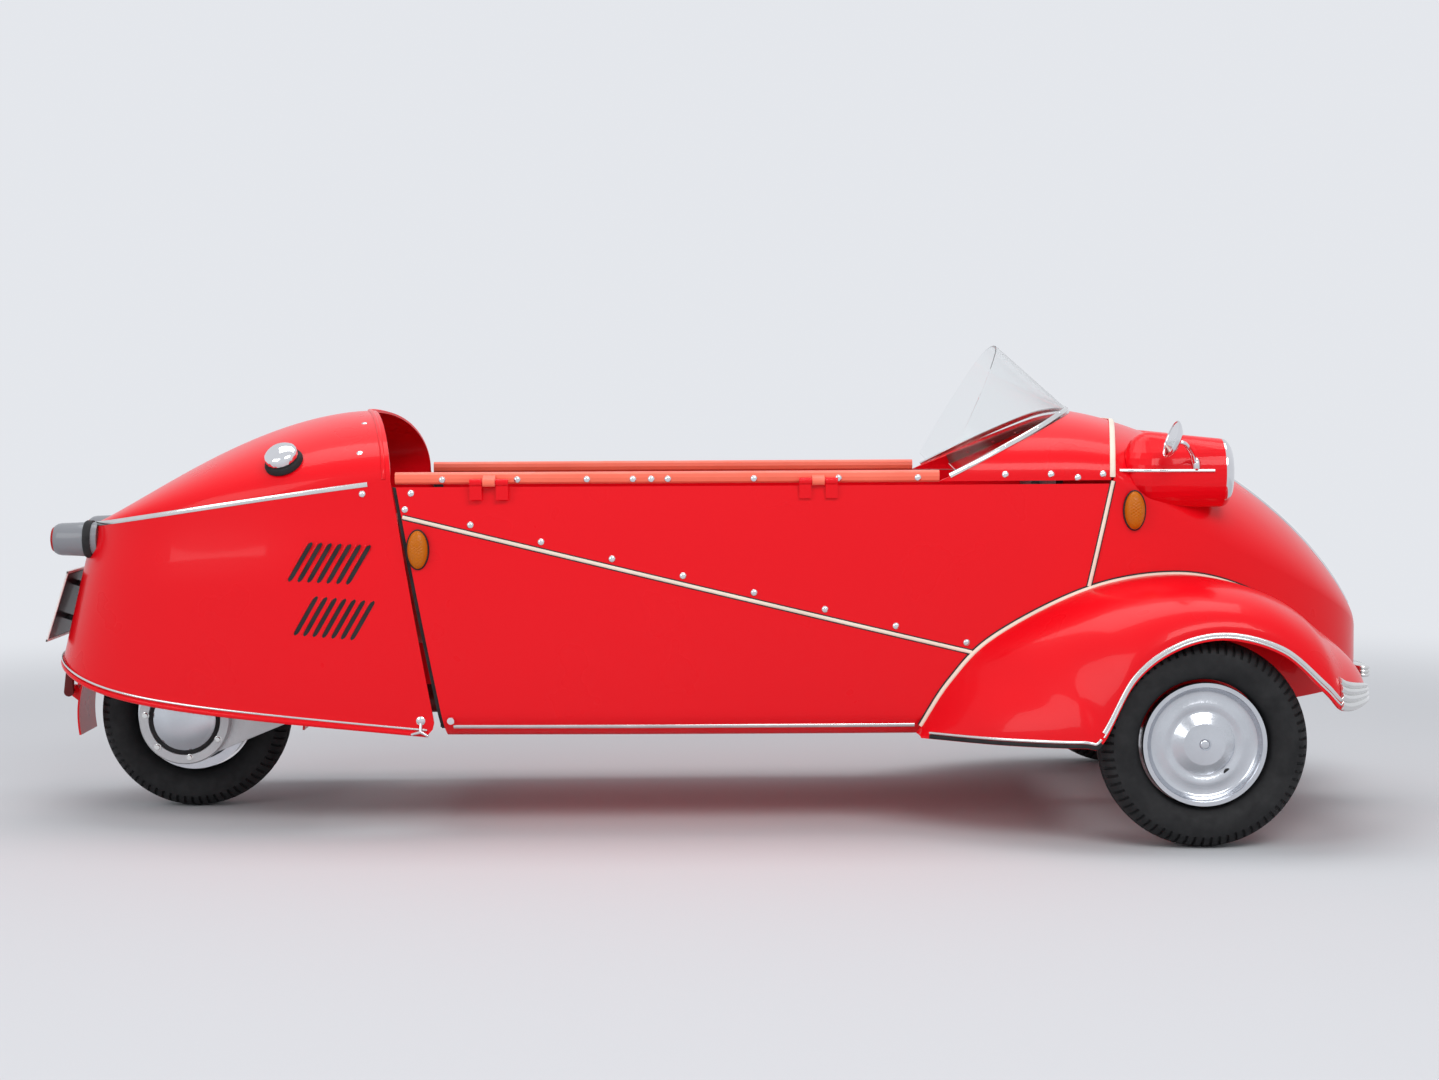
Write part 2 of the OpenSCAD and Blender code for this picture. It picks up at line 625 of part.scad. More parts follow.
// ---------- tilting cockpit frame ----------
screen_corner_x = 452;
screen_base_x = 753;
hinge_y = -side_y(0, waist_z) - 8;
hinge_z = waist_z - 2;
rail_d = 30;
rail_h = 24;
rail_x0 = cockpit_end(waist_z);
rail_x1 = screen_corner_x - touch;
function rail_y(x) = side_y(x, waist_z) - rail_d / 2;
rail_rows = 12;
function rail_ring(x, side) = [for (k = [0:11]) let(a = 30 * k)
    [x, side * (rail_y(x) + rail_d / 2 * cosp(a, 3)), waist_z + 6 + rail_h / 2 * sinp(a, 3)]];
module rail_bar(side) {
    n = rail_rows;
    rings = [for (i = [0:n]) rail_ring(mix(rail_x0, rail_x1, i / n), side)];
    side_faces = [for (i = [0:n - 1], j = [0:11])
        let(a = i * 12 + j, b = i * 12 + (j + 1) % 12, c = b + 12, d = a + 12)
        each (side > 0 ? quad(a, d, c, b) : quad(a, b, c, d))];
    first = [for (j = [0:11]) side > 0 ? j : 11 - j];
    last = [for (j = [0:11]) n * 12 + (side > 0 ? 11 - j : j)];
    polyhedron(join(rings), concat(side_faces, [first, last]));
}
hinge_places = [-450, 200];
hinge_len = 24;
hinge_leaf_h = 34;
hinge_leaf_y = -side_y(side_mid_x, hinge_z - hinge_leaf_h) - touch - 5;
module cockpit_rails() color("orangered") {
    rail_bar(1);
    difference() {
        union() {
            rail_bar(-1);
            for (x = hinge_places)
                hull() {
                    translate([x, hinge_y, hinge_z])
                        rotate([0, 90, 0])
                            cylinder(d = 16, h = hinge_len, $fn = 32);
                    translate([x, hinge_y + 14, hinge_z + 8])
                        cube([hinge_len, 6, 6]);
                }
        }
        for (x = hinge_places)
            translate([x - 1, hinge_y, hinge_z])
                rotate([0, 90, 0])
                    cylinder(d = hinge_pin_d + 2 * running_play, h = hinge_len + 2);
    }
}

module frame_hinges() color("silver")
    for (x = hinge_places) {
        translate([x - 26, hinge_y, hinge_z])
            rotate([0, 90, 0])
                cylinder(d = hinge_pin_d, h = hinge_len + 52);
        for (dx = [-26, hinge_len + 2])
            translate([x + dx, hinge_y, hinge_z]) {
                rotate([0, 90, 0])
                    cylinder(d = 14, h = 24);
                translate([0, hinge_leaf_y - hinge_y, -hinge_leaf_h])
                    cube([24, 5, hinge_leaf_h - 2]);
            }
    }

scuttle_rows = 6;
scuttle_cols = 32;
function scuttle_x(v, a) = mix(mix(screen_corner_x, screen_base_x, sinp(a, arch_exp)),
    nose_seam_x - panel_gap / 2 + nose_seam_lead * (1 - abs(cosp(a, arch_exp))), v);
function scuttle_top(x) = x < nose_start_x ? nose_top_z : nose_profile_z(x);
function scuttle_point(v, a) = let(x = scuttle_x(v, a), z0 = waist_z - 4)
    [x, -side_y(x, waist_z) * cosp(a, arch_exp), z0 + (scuttle_top(x) - z0) * sinp(a, arch_exp)];
module scuttle() color("red")
    sheet([for (i = [0:scuttle_rows]) [for (j = [0:scuttle_cols])
        scuttle_point(i / scuttle_rows, 180 * j / scuttle_cols)]], panel_wall);

function screen_base(a) = let(p = scuttle_point(0, a)) [p.x, p.y, p.z + 0.3];
function screen_point(v, a) = let(s = sinp(a, arch_exp), p = screen_base(a))
    [p.x - screen_rake * s * v, p.y * (1 - 0.1 * v * s), p.z + (screen_peak_z - nose_top_z) * s * v + 3 * v];
screen_rows = 6;
module windscreen() color("lightblue", 0.5)
    sheet([for (i = [0:screen_rows]) [for (j = [1:scuttle_cols - 1])
        screen_point(1 - i / screen_rows, 180 * j / scuttle_cols)]], screen_wall);

// ---------- rear cowl ----------
tail_tip_x = -half_length + 92;
tail_lean = 0.25;
crease_drop = 96;
tail_foot_x = tail_tip_x - tail_lean * (waist_z - crease_drop - tail_bottom_z);
cowl_hinge_x = tail_foot_x + cowl_hinge_in;
tail_exp = 2.6;
cowl_rows = 18;
cowl_side_cols = 8;
cowl_corner = 32;
cowl_deck_cols = 14;
ridge_power = 1.8;
ridge_front_x = -712;
ridge_rear_x = tail_tip_x + 34;
function ridge_z(x) = cowl_apex_z - (cowl_apex_z - tail_top_z)
    * pow(max(0, (ridge_front_x - x) / (ridge_front_x - ridge_rear_x)), ridge_power);
// One rib from the lower edge (c = -1) by the crease (c = 0) to the ridge (c = 1)
function cowl_rib(s, c) = let(
    a = s * 88.5, u = sinp(a, tail_exp), w = cosp(a, tail_exp),
    z_w = waist_z - crease_drop * pow(u, 1.1), y_w = side_y(rear_joint_x, waist_z) * w,
    x_w = mix(rear_joint_x, tail_tip_x, u),
    z_b = tub_bottom_z + 2 + (tail_bottom_z - tub_bottom_z) * (0.62 * u + 0.38 * pow(u, 7)),
    x_r = mix(ridge_front_x, ridge_rear_x, u))
    c < 0 ? let(t = 1 - pow(1 + c, 1.6), z = mix(z_w, z_b, t),
        round = cowl_corner * (1 - fall((z_b + cowl_corner - z) / cowl_corner, 2)),
        x0 = mix(rear_joint(z) - round, tail_tip_x - tail_lean * (z_w - z), u))
        [x0, mix(y_w, side_y(rear_joint_x, z) * w, min(1, t * 3)) , z]
        : [mix(x_w, x_r, 1 - cosp(90 * c, 2)), y_w * cosp(90 * c, 2), z_w + (ridge_z(x_r) - z_w) * sinp(90 * c, 2)];
function cowl_row(s) = let(half = concat(
    [for (k = [cowl_side_cols:-1:1]) cowl_rib(s, -k / cowl_side_cols)],
    [for (k = [0:cowl_deck_cols - 1]) cowl_rib(s, k / cowl_deck_cols)]), top = cowl_rib(s, 1))
    concat([for (p = half) [p.x, -p.y, p.z]], [[top.x, 0, top.z]], reversed(half));
cowl_grid = [for (i = [0:cowl_rows]) reversed(cowl_row(i / cowl_rows))];
module rear_cowl() color("red")
    sheet(cowl_grid, skin, true);

tank_x = -890;
module fuel_tank() color("gray")
    hull() {
        box([tank_x - 90, -160, 600], [tank_x + 90, 160, 650]);
        for (s = [5, 8], c = [9, -9])
            translate(under_cowl(s / cowl_rows, c / cowl_deck_cols, 10 + touch))
                sphere(10, $fn = 16);
    }

// Outward direction of the cowl's right half, and a place on it or a depth under its skin
function cowl_right(s, c) = let(p = cowl_rib(s, abs(c))) [p.x, c < 0 ? p.y : -p.y, p.z];
function cowl_out(s, c) = let(e = 0.01, k = c < 0 ? -1 : 1,
    n = unit(cross(cowl_right(s + e, c) - cowl_right(s - e, c), cowl_right(s, c + k * e)
        - cowl_right(s, c - k * e)))) n.z < 0 ? -n : n;
function under_cowl(s, c, depth) = cowl_right(s, c) - (skin + depth) * cowl_out(s, c);

cap_s = 0.15;
cap_c = 0.32;
module filler_cap() color("silver") {
    n = cowl_out(cap_s, cap_c);
    translate(cowl_right(cap_s, cap_c) + touch * n)
        rotate([0, acos(n.z), atan2(n.y, n.x)])
            rotate_extrude()
                polygon([[0, 0], [35, 0], [35, 8], [30, 10], [30, 16], [33, 20], [30, 28], [16, 35], [0, 37]]);
}

// Pin and ears that carry the cowl on the rear mudguard
cowl_ear_y = 78;
module cowl_hinge() color("silver") {
    across(cowl_hinge_x, -cowl_ear_y, cowl_ear_y, cowl_hinge_z, hinge_pin_d);
    for (side = [-1, 1])
        hull() {
            across(cowl_hinge_x, side * cowl_ear_y - 4, side * cowl_ear_y + 4, cowl_hinge_z, 20);
            translate([ear_top.x, -side * ear_top.y, ear_top.z])
                sphere(7, $fn = 24);
        }
}
function tail_rib(s, c) = let(p = cowl_rib(s, c)) [p.x, -p.y, p.z];
function tail_out(s, c) = let(e = 0.01, n = unit(cross(tail_rib(s + e, c) - tail_rib(s - e, c),
    tail_rib(s, c + e) - tail_rib(s, c - e)))) n.x > 0 ? -n : n;
ear_top = let(s = (cowl_rows - 1) / cowl_rows, c = -(cowl_side_cols - 1) / cowl_side_cols)
    tail_rib(s, c) - (skin + 7 + touch) * tail_out(s, c);

tail_lamp_x = tail_tip_x - 4;
tail_lamp_y = 146;
tail_lamp_z = 577;
module tail_lamps() color("gray") both()
    difference() {
        translate([tail_lamp_x + 100, -tail_lamp_y, tail_lamp_z])
            rotate([0, -90, 0])
                rotate_extrude()
                    polygon([[0, 60], [36, 60], [36, 80], [33, 86], [33, 150], [28, 160], [0, 164]]);
        filled(rows_of(inset(cowl_grid, -touch), cowl_rows / 2, cowl_rows));
    }

plate_w = 240;
plate_h = 155;
plate_t = 4;
plate_z = 362;
plate_tilt = 18;
module number_plate() color("white")
    translate([-half_length, 0, plate_z])
        rotate([0, plate_tilt, 0]) {
            translate([0, -plate_w / 2, 0])
                cube([plate_t, plate_w, plate_h]);
            for (h = plate_posts)
                translate([plate_t - 1, 0, h])
                    rotate([0, 90, 0])
                        cylinder(d = 14, h = tail_distance(h) - plate_t + 1 - 2 * touch);
        }
plate_posts = [45, 120];
// From the plate's back to the tail's face, square to the plate
function tail_distance(h) = let(z = plate_z + h * cos(plate_tilt), x = -half_length + h * sin(plate_tilt))
    (tail_tip_x - tail_lean * (waist_z - crease_drop - z) - x)
    / (cos(plate_tilt) + tail_lean * sin(plate_tilt)) - 7 * tan(plate_tilt - atan(tail_lean));

// ---------- steering ----------
module steering_bar() color("dimgray") {
    bar(column_foot, column_head, column_d);
    bar([column_head.x, -bar_half_w, column_head.z], [column_head.x, bar_half_w, column_head.z], column_d);
    bar(column_point(0.17), column_point(0.2), 40);
}

brake_d = rim_d - 76;
module knuckle() {
    translate([front_axle_x, -kingpin_y, axle_z - 48])
        cylinder(d = kingpin_d, h = 96);
    for (z = [axle_z - 48, axle_z + 36]) {
        translate([front_axle_x, -kingpin_y, z])
            cylinder(d = 34, h = 12);
        box([front_axle_x - 17, -kingpin_y - 26, z], [front_axle_x + 17, -kingpin_y, z + 12]);
    }
    across(front_axle_x, -kingpin_y - 32, -kingpin_y - 24, axle_z, brake_d);
    across(front_axle_x, -wheel_y - 20, -kingpin_y - 26, axle_z, axle_d);
}
module right_knuckle() color("dimgray")
    knuckle();
module left_knuckle() color("dimgray")
    mirror([0, 1, 0])
        knuckle();

// ---------- wheels ----------
// Half of the tyre's section: shares of the way from rim to tread, and of the half width
tyre_half = [for (p = [[0, 0.75], [0.354, 1], [0.598, 1], [0.805, 0.79], [1, 0.5]])
    [mix(rim_d / 2, tyre_d / 2, p.x), p.y * tyre_w / 2]];
module tyre(x, y)
    translate([x, y, axle_z])
        rotate([90, 0, 0])
            rotate_extrude($fn = 72)
                polygon(concat(tyre_half, [for (p = reversed(tyre_half)) [p.x, -p.y]]));
module wheel(x, y, side)
    translate([x, y, axle_z])
        rotate([90, 0, 0])
            mirror([0, 0, side > 0 ? 1 : 0])
                rotate_extrude($fn = 72)
                    polygon([[axle_d / 2 + running_play, -34], [30, -34], [40, 8], [rim_d / 2 - 22, 8],
                        [rim_d / 2 - 18, -40], [rim_d / 2, -40], [rim_d / 2, 40], [rim_d / 2 - 8, 40],
                        [rim_d / 2 - 14, 20], [60, 24], [40, 36],
                        [axle_d / 2 + running_play, 38]]);
module right_front_tyre() color("black")
    tyre(front_axle_x, -wheel_y);
module right_front_wheel() color("silver")
    wheel(front_axle_x, -wheel_y, -1);
module left_front_tyre() color("black")
    tyre(front_axle_x, wheel_y);
module left_front_wheel() color("silver")
    wheel(front_axle_x, wheel_y, 1);
module rear_tyre() color("black")
    tyre(rear_axle_x, 0);
module rear_wheel() color("silver") {
    wheel(rear_axle_x, 0, 1);
    across(rear_axle_x, case_y0 + 36, 30, axle_z, axle_d);
}

chassis_frame();
tub();
right_side_panel();
nose_shell();
right_front_fender();
left_front_fender();
headlamp_pods();
headlamps();
indicators();
fender_mouldings();
nose_moulding();
door_mirror();
dashboard();
pedals();
gear_lever();
seat_frames();
driver_cushion();
driver_backrest();
rear_cushion();
rear_backrest();
bulkheads();
engine_block();
chain_case();
rear_mudguard();
right_suspension_arm();
left_suspension_arm();
frame_hinges();
left_side_panel();
cockpit_rails();
scuttle();
windscreen();
rear_cowl();
cowl_hinge();
fuel_tank();
filler_cap();
tail_lamps();
number_plate();
steering_bar();
right_knuckle();
left_knuckle();
right_front_tyre();
right_front_wheel();
left_front_tyre();
left_front_wheel();
rear_tyre();
rear_wheel();
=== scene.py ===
"""Three wheeled tandem roadster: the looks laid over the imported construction."""

import logging
import math
from dataclasses import dataclass, field
from enum import Enum
from typing import Callable, Sequence

import bmesh
import bpy
import numpy as np
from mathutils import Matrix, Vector
from mathutils.bvhtree import BVHTree


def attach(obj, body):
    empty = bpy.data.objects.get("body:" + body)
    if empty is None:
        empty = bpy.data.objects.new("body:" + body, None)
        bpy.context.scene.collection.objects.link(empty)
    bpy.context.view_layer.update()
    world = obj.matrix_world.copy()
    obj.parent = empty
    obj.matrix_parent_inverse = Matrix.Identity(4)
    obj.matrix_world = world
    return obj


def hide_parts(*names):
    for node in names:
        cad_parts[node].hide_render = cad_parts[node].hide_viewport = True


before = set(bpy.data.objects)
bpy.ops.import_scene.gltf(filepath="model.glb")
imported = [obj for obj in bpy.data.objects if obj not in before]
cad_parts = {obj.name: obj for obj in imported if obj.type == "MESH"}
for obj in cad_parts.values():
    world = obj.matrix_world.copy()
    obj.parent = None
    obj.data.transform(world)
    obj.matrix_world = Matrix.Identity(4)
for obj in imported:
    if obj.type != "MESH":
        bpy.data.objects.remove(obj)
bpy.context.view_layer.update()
LOG = logging.getLogger("roadster")
MM = 0.001
Array = np.ndarray
Triple = tuple[float, float, float]
Profile = Sequence[tuple[float, float]]
Socket = bpy.types.NodeSocket

RIGHTWARD = np.array([0.0, -1.0, 0.0])


class Side(Enum):
    """A side of the car, as the sign of its Y."""

    RIGHT = -1
    LEFT = 1


# ---------------------------------------------------------------- meshes


@dataclass
class Shape:
    """Vertices and faces of one closed or open surface, in millimetres."""

    verts: Array
    faces: list[tuple[int, ...]]

    @classmethod
    def grid(cls, points: Array, wrap_u: bool = False, wrap_v: bool = False, caps: bool = False) -> "Shape":
        """Faces over a grid of points.

        Args:
            points: An array of rows by columns by three.
            wrap_u: The last row joins the first.
            wrap_v: The last column joins the first.
            caps: Close the first and last rows with one face each.

        Returns:
            The grid's shape.
        """
        n, m = points.shape[:2]
        index = np.arange(n * m).reshape(n, m)
        if wrap_u:
            index = np.vstack([index, index[:1]])
        if wrap_v:
            index = np.hstack([index, index[:, :1]])
        quads = np.stack([index[:-1, :-1], index[:-1, 1:], index[1:, 1:], index[1:, :-1]], axis=-1)
        faces = [tuple(q) for q in quads.reshape(-1, 4).tolist()]
        if caps:
            faces.append(tuple(range(m - 1, -1, -1)))
            faces.append(tuple(range((n - 1) * m, n * m)))
        return cls(points.reshape(-1, 3), faces)

    def __add__(self, other: "Shape") -> "Shape":
        """Both shapes as one."""
        k = len(self.verts)
        moved = [tuple(i + k for i in f) for f in other.faces]
        return Shape(np.vstack([self.verts, other.verts]), self.faces + moved)

    def mirrored(self) -> "Shape":
        """The same shape on the car's other side."""
        return Shape(self.verts * np.array([1.0, -1.0, 1.0]), [tuple(reversed(f)) for f in self.faces])

    def both(self) -> "Shape":
        """This shape with its mirror image."""
        return self + self.mirrored()


def joined(shapes: Sequence[Shape]) -> Shape:
    """Several shapes as one, their faces renumbered in order."""
    counts = np.cumsum([0] + [len(s.verts) for s in shapes])
    faces = [tuple(i + int(k) for i in f) for s, k in zip(shapes, counts) for f in s.faces]
    return Shape(np.vstack([s.verts for s in shapes]), faces)


def piece(name: str, shape: Shape, finish: "Finish", body: str, *, replaces: Sequence[str] = (),
          sharp: float = 40.0) -> bpy.types.Object:
    """Makes a mesh object from a shape, dresses it and sets it on its body.

    Args:
        name: The piece's plain name.
        shape: Its shape in millimetres.
        finish: Its finish.
        body: The body it rides on.
        replaces: CAD nodes that it stands for.
        sharp: Edges sharper than this many degrees stay sharp.

    Returns:
        The finished object.
    """
    mesh = bpy.data.meshes.new(name)
    mesh.from_pydata((shape.verts * MM).tolist(), [], shape.faces)
    mesh.validate()
    return finish_piece(name, mesh, finish, body, replaces=replaces, sharp=sharp)


def finish_piece(name: str, mesh: bpy.types.Mesh, finish: "Finish", body: str, *,
                 replaces: Sequence[str] = (), sharp: float = 40.0) -> bpy.types.Object:
    """Turns faces outward, smooths, dresses and links a mesh into the scene on its body; arguments as for
    piece.
    """
    work = bmesh.new()
    work.from_mesh(mesh)
    bmesh.ops.remove_doubles(work, verts=work.verts, dist=2e-5)
    bmesh.ops.dissolve_degenerate(work, edges=work.edges, dist=1e-6)
    bmesh.ops.recalc_face_normals(work, faces=work.faces)
    work.to_mesh(mesh)
    work.free()
    mesh.polygons.foreach_set("use_smooth", [True] * len(mesh.polygons))
    mesh.set_sharp_from_angle(angle=math.radians(sharp))
    obj = bpy.data.objects.new(name, mesh)
    bpy.context.scene.collection.objects.link(obj)
    obj.data.materials.append(finish.material())
    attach(obj, body)
    if replaces:
        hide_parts(*replaces)
    LOG.info("%s on %s: %d faces", name, body, len(mesh.polygons))
    return obj


def unit(v: Array) -> Array:
    """Vectors of length one along the last axis."""
    return v / np.maximum(np.linalg.norm(v, axis=-1, keepdims=True), 1e-9)


def to_right(out: Array) -> Array:
    """Directions, each flipped if it points to the left."""
    return np.where(out[:, 1:2] > 0, -out, out)


def grid_normals(points: Array) -> Array:
    """Normals of a grid: the cross product of its two tangents, by central differences."""
    return unit(np.cross(np.gradient(points, axis=0), np.gradient(points, axis=1)))


def walled(outer: Array, inner: Array, zipped: bool = False) -> Shape:
    """A closed sheet between an outer and an inner grid.

    Args:
        outer: The outer surface's grid.
        inner: The inner surface's grid, of the same size.
        zipped: The last row folds onto itself about its middle and is closed there.

    Returns:
        The sheet with its rims closed.
    """
    n, m = outer.shape[:2]
    k = n * m
    index = np.arange(k).reshape(n, m)
    quads = np.stack([index[:-1, :-1], index[:-1, 1:], index[1:, 1:], index[1:, :-1]], axis=-1)
    quads = quads.reshape(-1, 4)
    faces = [tuple(q) for q in quads.tolist()] + [tuple(q) for q in (quads[:, ::-1] + k).tolist()]
    rim = list(index[0]) + list(index[1:, -1])
    if zipped:
        row = index[-1]
        for j in range((m - 1) // 2):
            a, b, c, d = int(row[j]), int(row[j + 1]), int(row[m - 2 - j]), int(row[m - 1 - j])
            face = (a, b, d) if b == c else (a, b, c, d)
            faces += [face, tuple(i + k for i in reversed(face))]
        rim += list(index[-1:0:-1, 0])
    else:
        rim += list(index[-1, -2::-1]) + list(index[-2:0:-1, 0])
    rim = [int(i) for i in rim]
    faces += [(b, a, a + k, b + k) for a, b in zip(rim, rim[1:] + rim[:1])]
    return Shape(np.concatenate([outer.reshape(-1, 3), inner.reshape(-1, 3)]), faces)


def sheet(outer: Array, wall: float, zipped: bool = False) -> Shape:
    """A sheet whose inner face is the outer one moved against its normals by the wall's thickness."""
    return walled(outer, outer - wall * grid_normals(outer), zipped)


def smooth_path(controls: Sequence[Sequence[float]], count: int) -> Array:
    """A Catmull-Rom curve through a few points.

    Args:
        controls: The points it passes through.
        count: How many points to give back, evenly spaced between the controls.

    Returns:
        An array of count points.
    """
    p = np.asarray(controls, dtype=float)
    k = len(p) - 1
    s = np.linspace(0.0, 1.0, count) * k
    i = np.minimum(np.floor(s).astype(int), k - 1)
    t = (s - i)[:, None]
    ends = np.vstack([2 * p[0] - p[1], p, 2 * p[-1] - p[-2]])
    a, b, c, d = ends[i], ends[i + 1], ends[i + 2], ends[i + 3]
    square, cube = 2 * a - 5 * b + 4 * c - d, 3 * b - a - 3 * c + d
    return 0.5 * (2 * b + (c - a) * t + square * t ** 2 + cube * t ** 3)


def bead(path: Array, normals: Array, width: float, height: float, lift: float = 0.0, around: int = 12,
         square: float = 2.0) -> Shape:
    """A moulded strip along a path on a surface.

    Its section is a superellipse: width across the surface, height along the normal.

    Args:
        path: Points along the strip's middle.
        normals: The surface's normals there.
        width: Across the surface.
        height: Over the surface; the same lies under it.
        lift: How far the middle stands off the surface.
        around: Points round the section.
        square: The superellipse's exponent; higher is squarer.

    Returns:
        The closed strip.
    """
    tangent = unit(np.gradient(path, axis=0))
    across = unit(np.cross(normals, tangent))
    normal = unit(np.cross(tangent, across))
    a = np.linspace(0, 2 * math.pi, around, endpoint=False)
    u = np.sign(np.cos(a)) * np.abs(np.cos(a)) ** (2 / square) * width / 2
    v = np.sign(np.sin(a)) * np.abs(np.sin(a)) ** (2 / square) * height + lift
    points = path[:, None] + across[:, None] * u[None, :, None] + normal[:, None] * v[None, :, None]
    return Shape.grid(points, wrap_v=True, caps=True)


def turned(profile: Profile, origin: Array, axis: Array, around: int = 48,
           squash: float = 1.0, ring: bool = False) -> Shape:
    """A turned piece: a profile of (radius, height) pairs swept round an axis.

    Args:
        profile: Radius and height along the axis, from one pole or rim to the other.
        origin: Where height is nought.
        axis: The direction of height.
        around: Points round the axis.
        squash: Scale of the first cross direction, for oval pieces.
        ring: The profile's last point joins its first, for a ring with a hole.

    Returns:
        The turned shape; a first or last radius of nought makes a closed pole.
    """
    w = unit(np.asarray(axis, dtype=float))
    u = unit(np.cross(w, [0.0, 0.0, 1.0] if abs(w[2]) < 0.9 else [0.0, 1.0, 0.0]))
    v = np.cross(w, u)
    p = np.asarray(profile, dtype=float)
    a = np.linspace(0, 2 * math.pi, around, endpoint=False)
    spokes = np.cos(a)[:, None] * u * squash + np.sin(a)[:, None] * v
    points = np.asarray(origin) + p[:, None, :1] * spokes[None] + p[:, None, 1:] * w
    open_end = bool(p[0, 0] > 0 or p[-1, 0] > 0)
    return Shape.grid(points, wrap_u=ring, wrap_v=True, caps=open_end and not ring)


def tube(path: Array, radii: Array | float, around: int = 16) -> Shape:
    """A round bar of changing thickness along a path, with flat ends."""
    tangent = unit(np.gradient(path, axis=0))
    across = unit(np.cross(tangent, np.array([0.0, 0.3, 1.0])))
    up = np.cross(across, tangent)
    a = np.linspace(0, 2 * math.pi, around, endpoint=False)
    r = np.broadcast_to(radii, (len(path),))[:, None, None]
    ring = across[:, None] * np.cos(a)[None, :, None] + up[:, None] * np.sin(a)[None, :, None]
    return Shape.grid(path[:, None] + r * ring, wrap_v=True, caps=True)


def rod(a: Sequence[float], b: Sequence[float], d: float, around: int = 20) -> Shape:
    """A round bar between two points with small rounded ends."""
    a, b = np.asarray(a, dtype=float), np.asarray(b, dtype=float)
    h = float(np.linalg.norm(b - a))
    r, e = d / 2, min(d * 0.12, h / 4)
    return turned([(r - e, 0), (r, e), (r, h - e), (r - e, h)], a, b - a, around)


def block(low: Sequence[float], high: Sequence[float], edge: float = 1.5) -> Shape:
    """A box with chamfered edges, from its lowest to its highest corner."""
    x0, y0, z0 = map(float, low)
    x1, y1, z1 = map(float, high)
    e = edge

    def ring(inset: float, z: float) -> list[list[float]]:
        """The eight corners of a chamfered rectangle."""
        a0, a1, b0, b1 = x0 + inset, x1 - inset, y0 + inset, y1 - inset
        return [[a0 + e, b0, z], [a1 - e, b0, z], [a1, b0 + e, z], [a1, b1 - e, z],
                [a1 - e, b1, z], [a0 + e, b1, z], [a0, b1 - e, z], [a0, b0 + e, z]]

    rings = np.array([ring(e, z0), ring(0, z0 + e), ring(0, z1 - e), ring(e, z1)])
    return Shape.grid(rings, wrap_v=True, caps=True)


def studs(places: Array, normals: Array, profile: Profile, around: int = 14) -> Shape:
    """The same small turned piece at many places, each along its own normal."""
    return joined([turned(profile, p, n, around) for p, n in zip(places, normals)])


# ---------------------------------------------------------------- finishes


class Nodes:
    """Short ways to lay out one material's nodes."""

    def __init__(self, name: str) -> None:
        """Starts a material with its Principled shader."""
        self.material = bpy.data.materials.new(name)
        self.material.use_nodes = True
        self.tree = self.material.node_tree
        self.shader = self.tree.nodes["Principled BSDF"]
        self.coords = self.tree.nodes.new("ShaderNodeTexCoord").outputs["Object"]

    def add(self, kind: str, **values: object) -> bpy.types.Node:
        """A node of a kind, its sockets set or linked by name and its fields by lower case name."""
        node = self.tree.nodes.new(kind)
        for key, value in values.items():
            if key[0].islower():
                setattr(node, key, value)
                continue
            socket = node.inputs[key.replace("_", " ")]
            if isinstance(value, Socket):
                self.tree.links.new(value, socket)
            else:
                socket.default_value = value
        return node

    def noise(self, scale: float, detail: float = 3.0, stretch: Triple = (1, 1, 1)) -> Socket:
        """Noise on Object coordinates, scale in turns per metre."""
        place = self.add("ShaderNodeMapping", Vector=self.coords, Scale=stretch)
        return self.add("ShaderNodeTexNoise", Vector=place.outputs[0], Scale=scale, Detail=detail).outputs[0]

    def spread(self, value: Socket, low: float, high: float, start: float = 0.3,
               end: float = 0.7) -> Socket:
        """A value's range from start to end moved to low to high."""
        node = self.add("ShaderNodeMapRange", Value=value)
        for name, number in (("From Min", start), ("From Max", end), ("To Min", low), ("To Max", high)):
            node.inputs[name].default_value = number
        return node.outputs[0]

    def tint(self, factor: Socket, first: Triple, second: Triple) -> Socket:
        """A colour between two by a factor."""
        node = self.add("ShaderNodeMix", data_type="RGBA")
        self.tree.links.new(factor, node.inputs[0])
        node.inputs[6].default_value = (*first, 1)
        node.inputs[7].default_value = (*second, 1)
        return node.outputs[2]

    def bump(self, height: Socket, strength: float, distance: float) -> None:
        """A bump on the shader's normal."""
        node = self.add("ShaderNodeBump", Height=height, Strength=strength, Distance=distance)
        self.link(node.outputs[0], "Normal")

    def link(self, value: Socket, name: str) -> None:
        """Links a value into the shader's socket."""
        self.tree.links.new(value, self.shader.inputs[name])

    def set(self, **values: object) -> None:
        """Sets the shader's own sockets."""
        for name, value in values.items():
            self.shader.inputs[name.replace("_", " ")].default_value = value


@dataclass(frozen=True)
class Finish:
    """A finish with its name, its slot name and its main colour."""

    name: str
    slot: str
    color: Triple

    def dress(self, n: Nodes) -> None:
        """Lays out the finish's nodes."""
        raise NotImplementedError

    def material(self) -> bpy.types.Material:
        """The finish's one material, made when first asked for."""
        found = bpy.data.materials.get(self.name)
        if found:
            return found
        nodes = Nodes(self.name)
        self.dress(nodes)
        return nodes.material


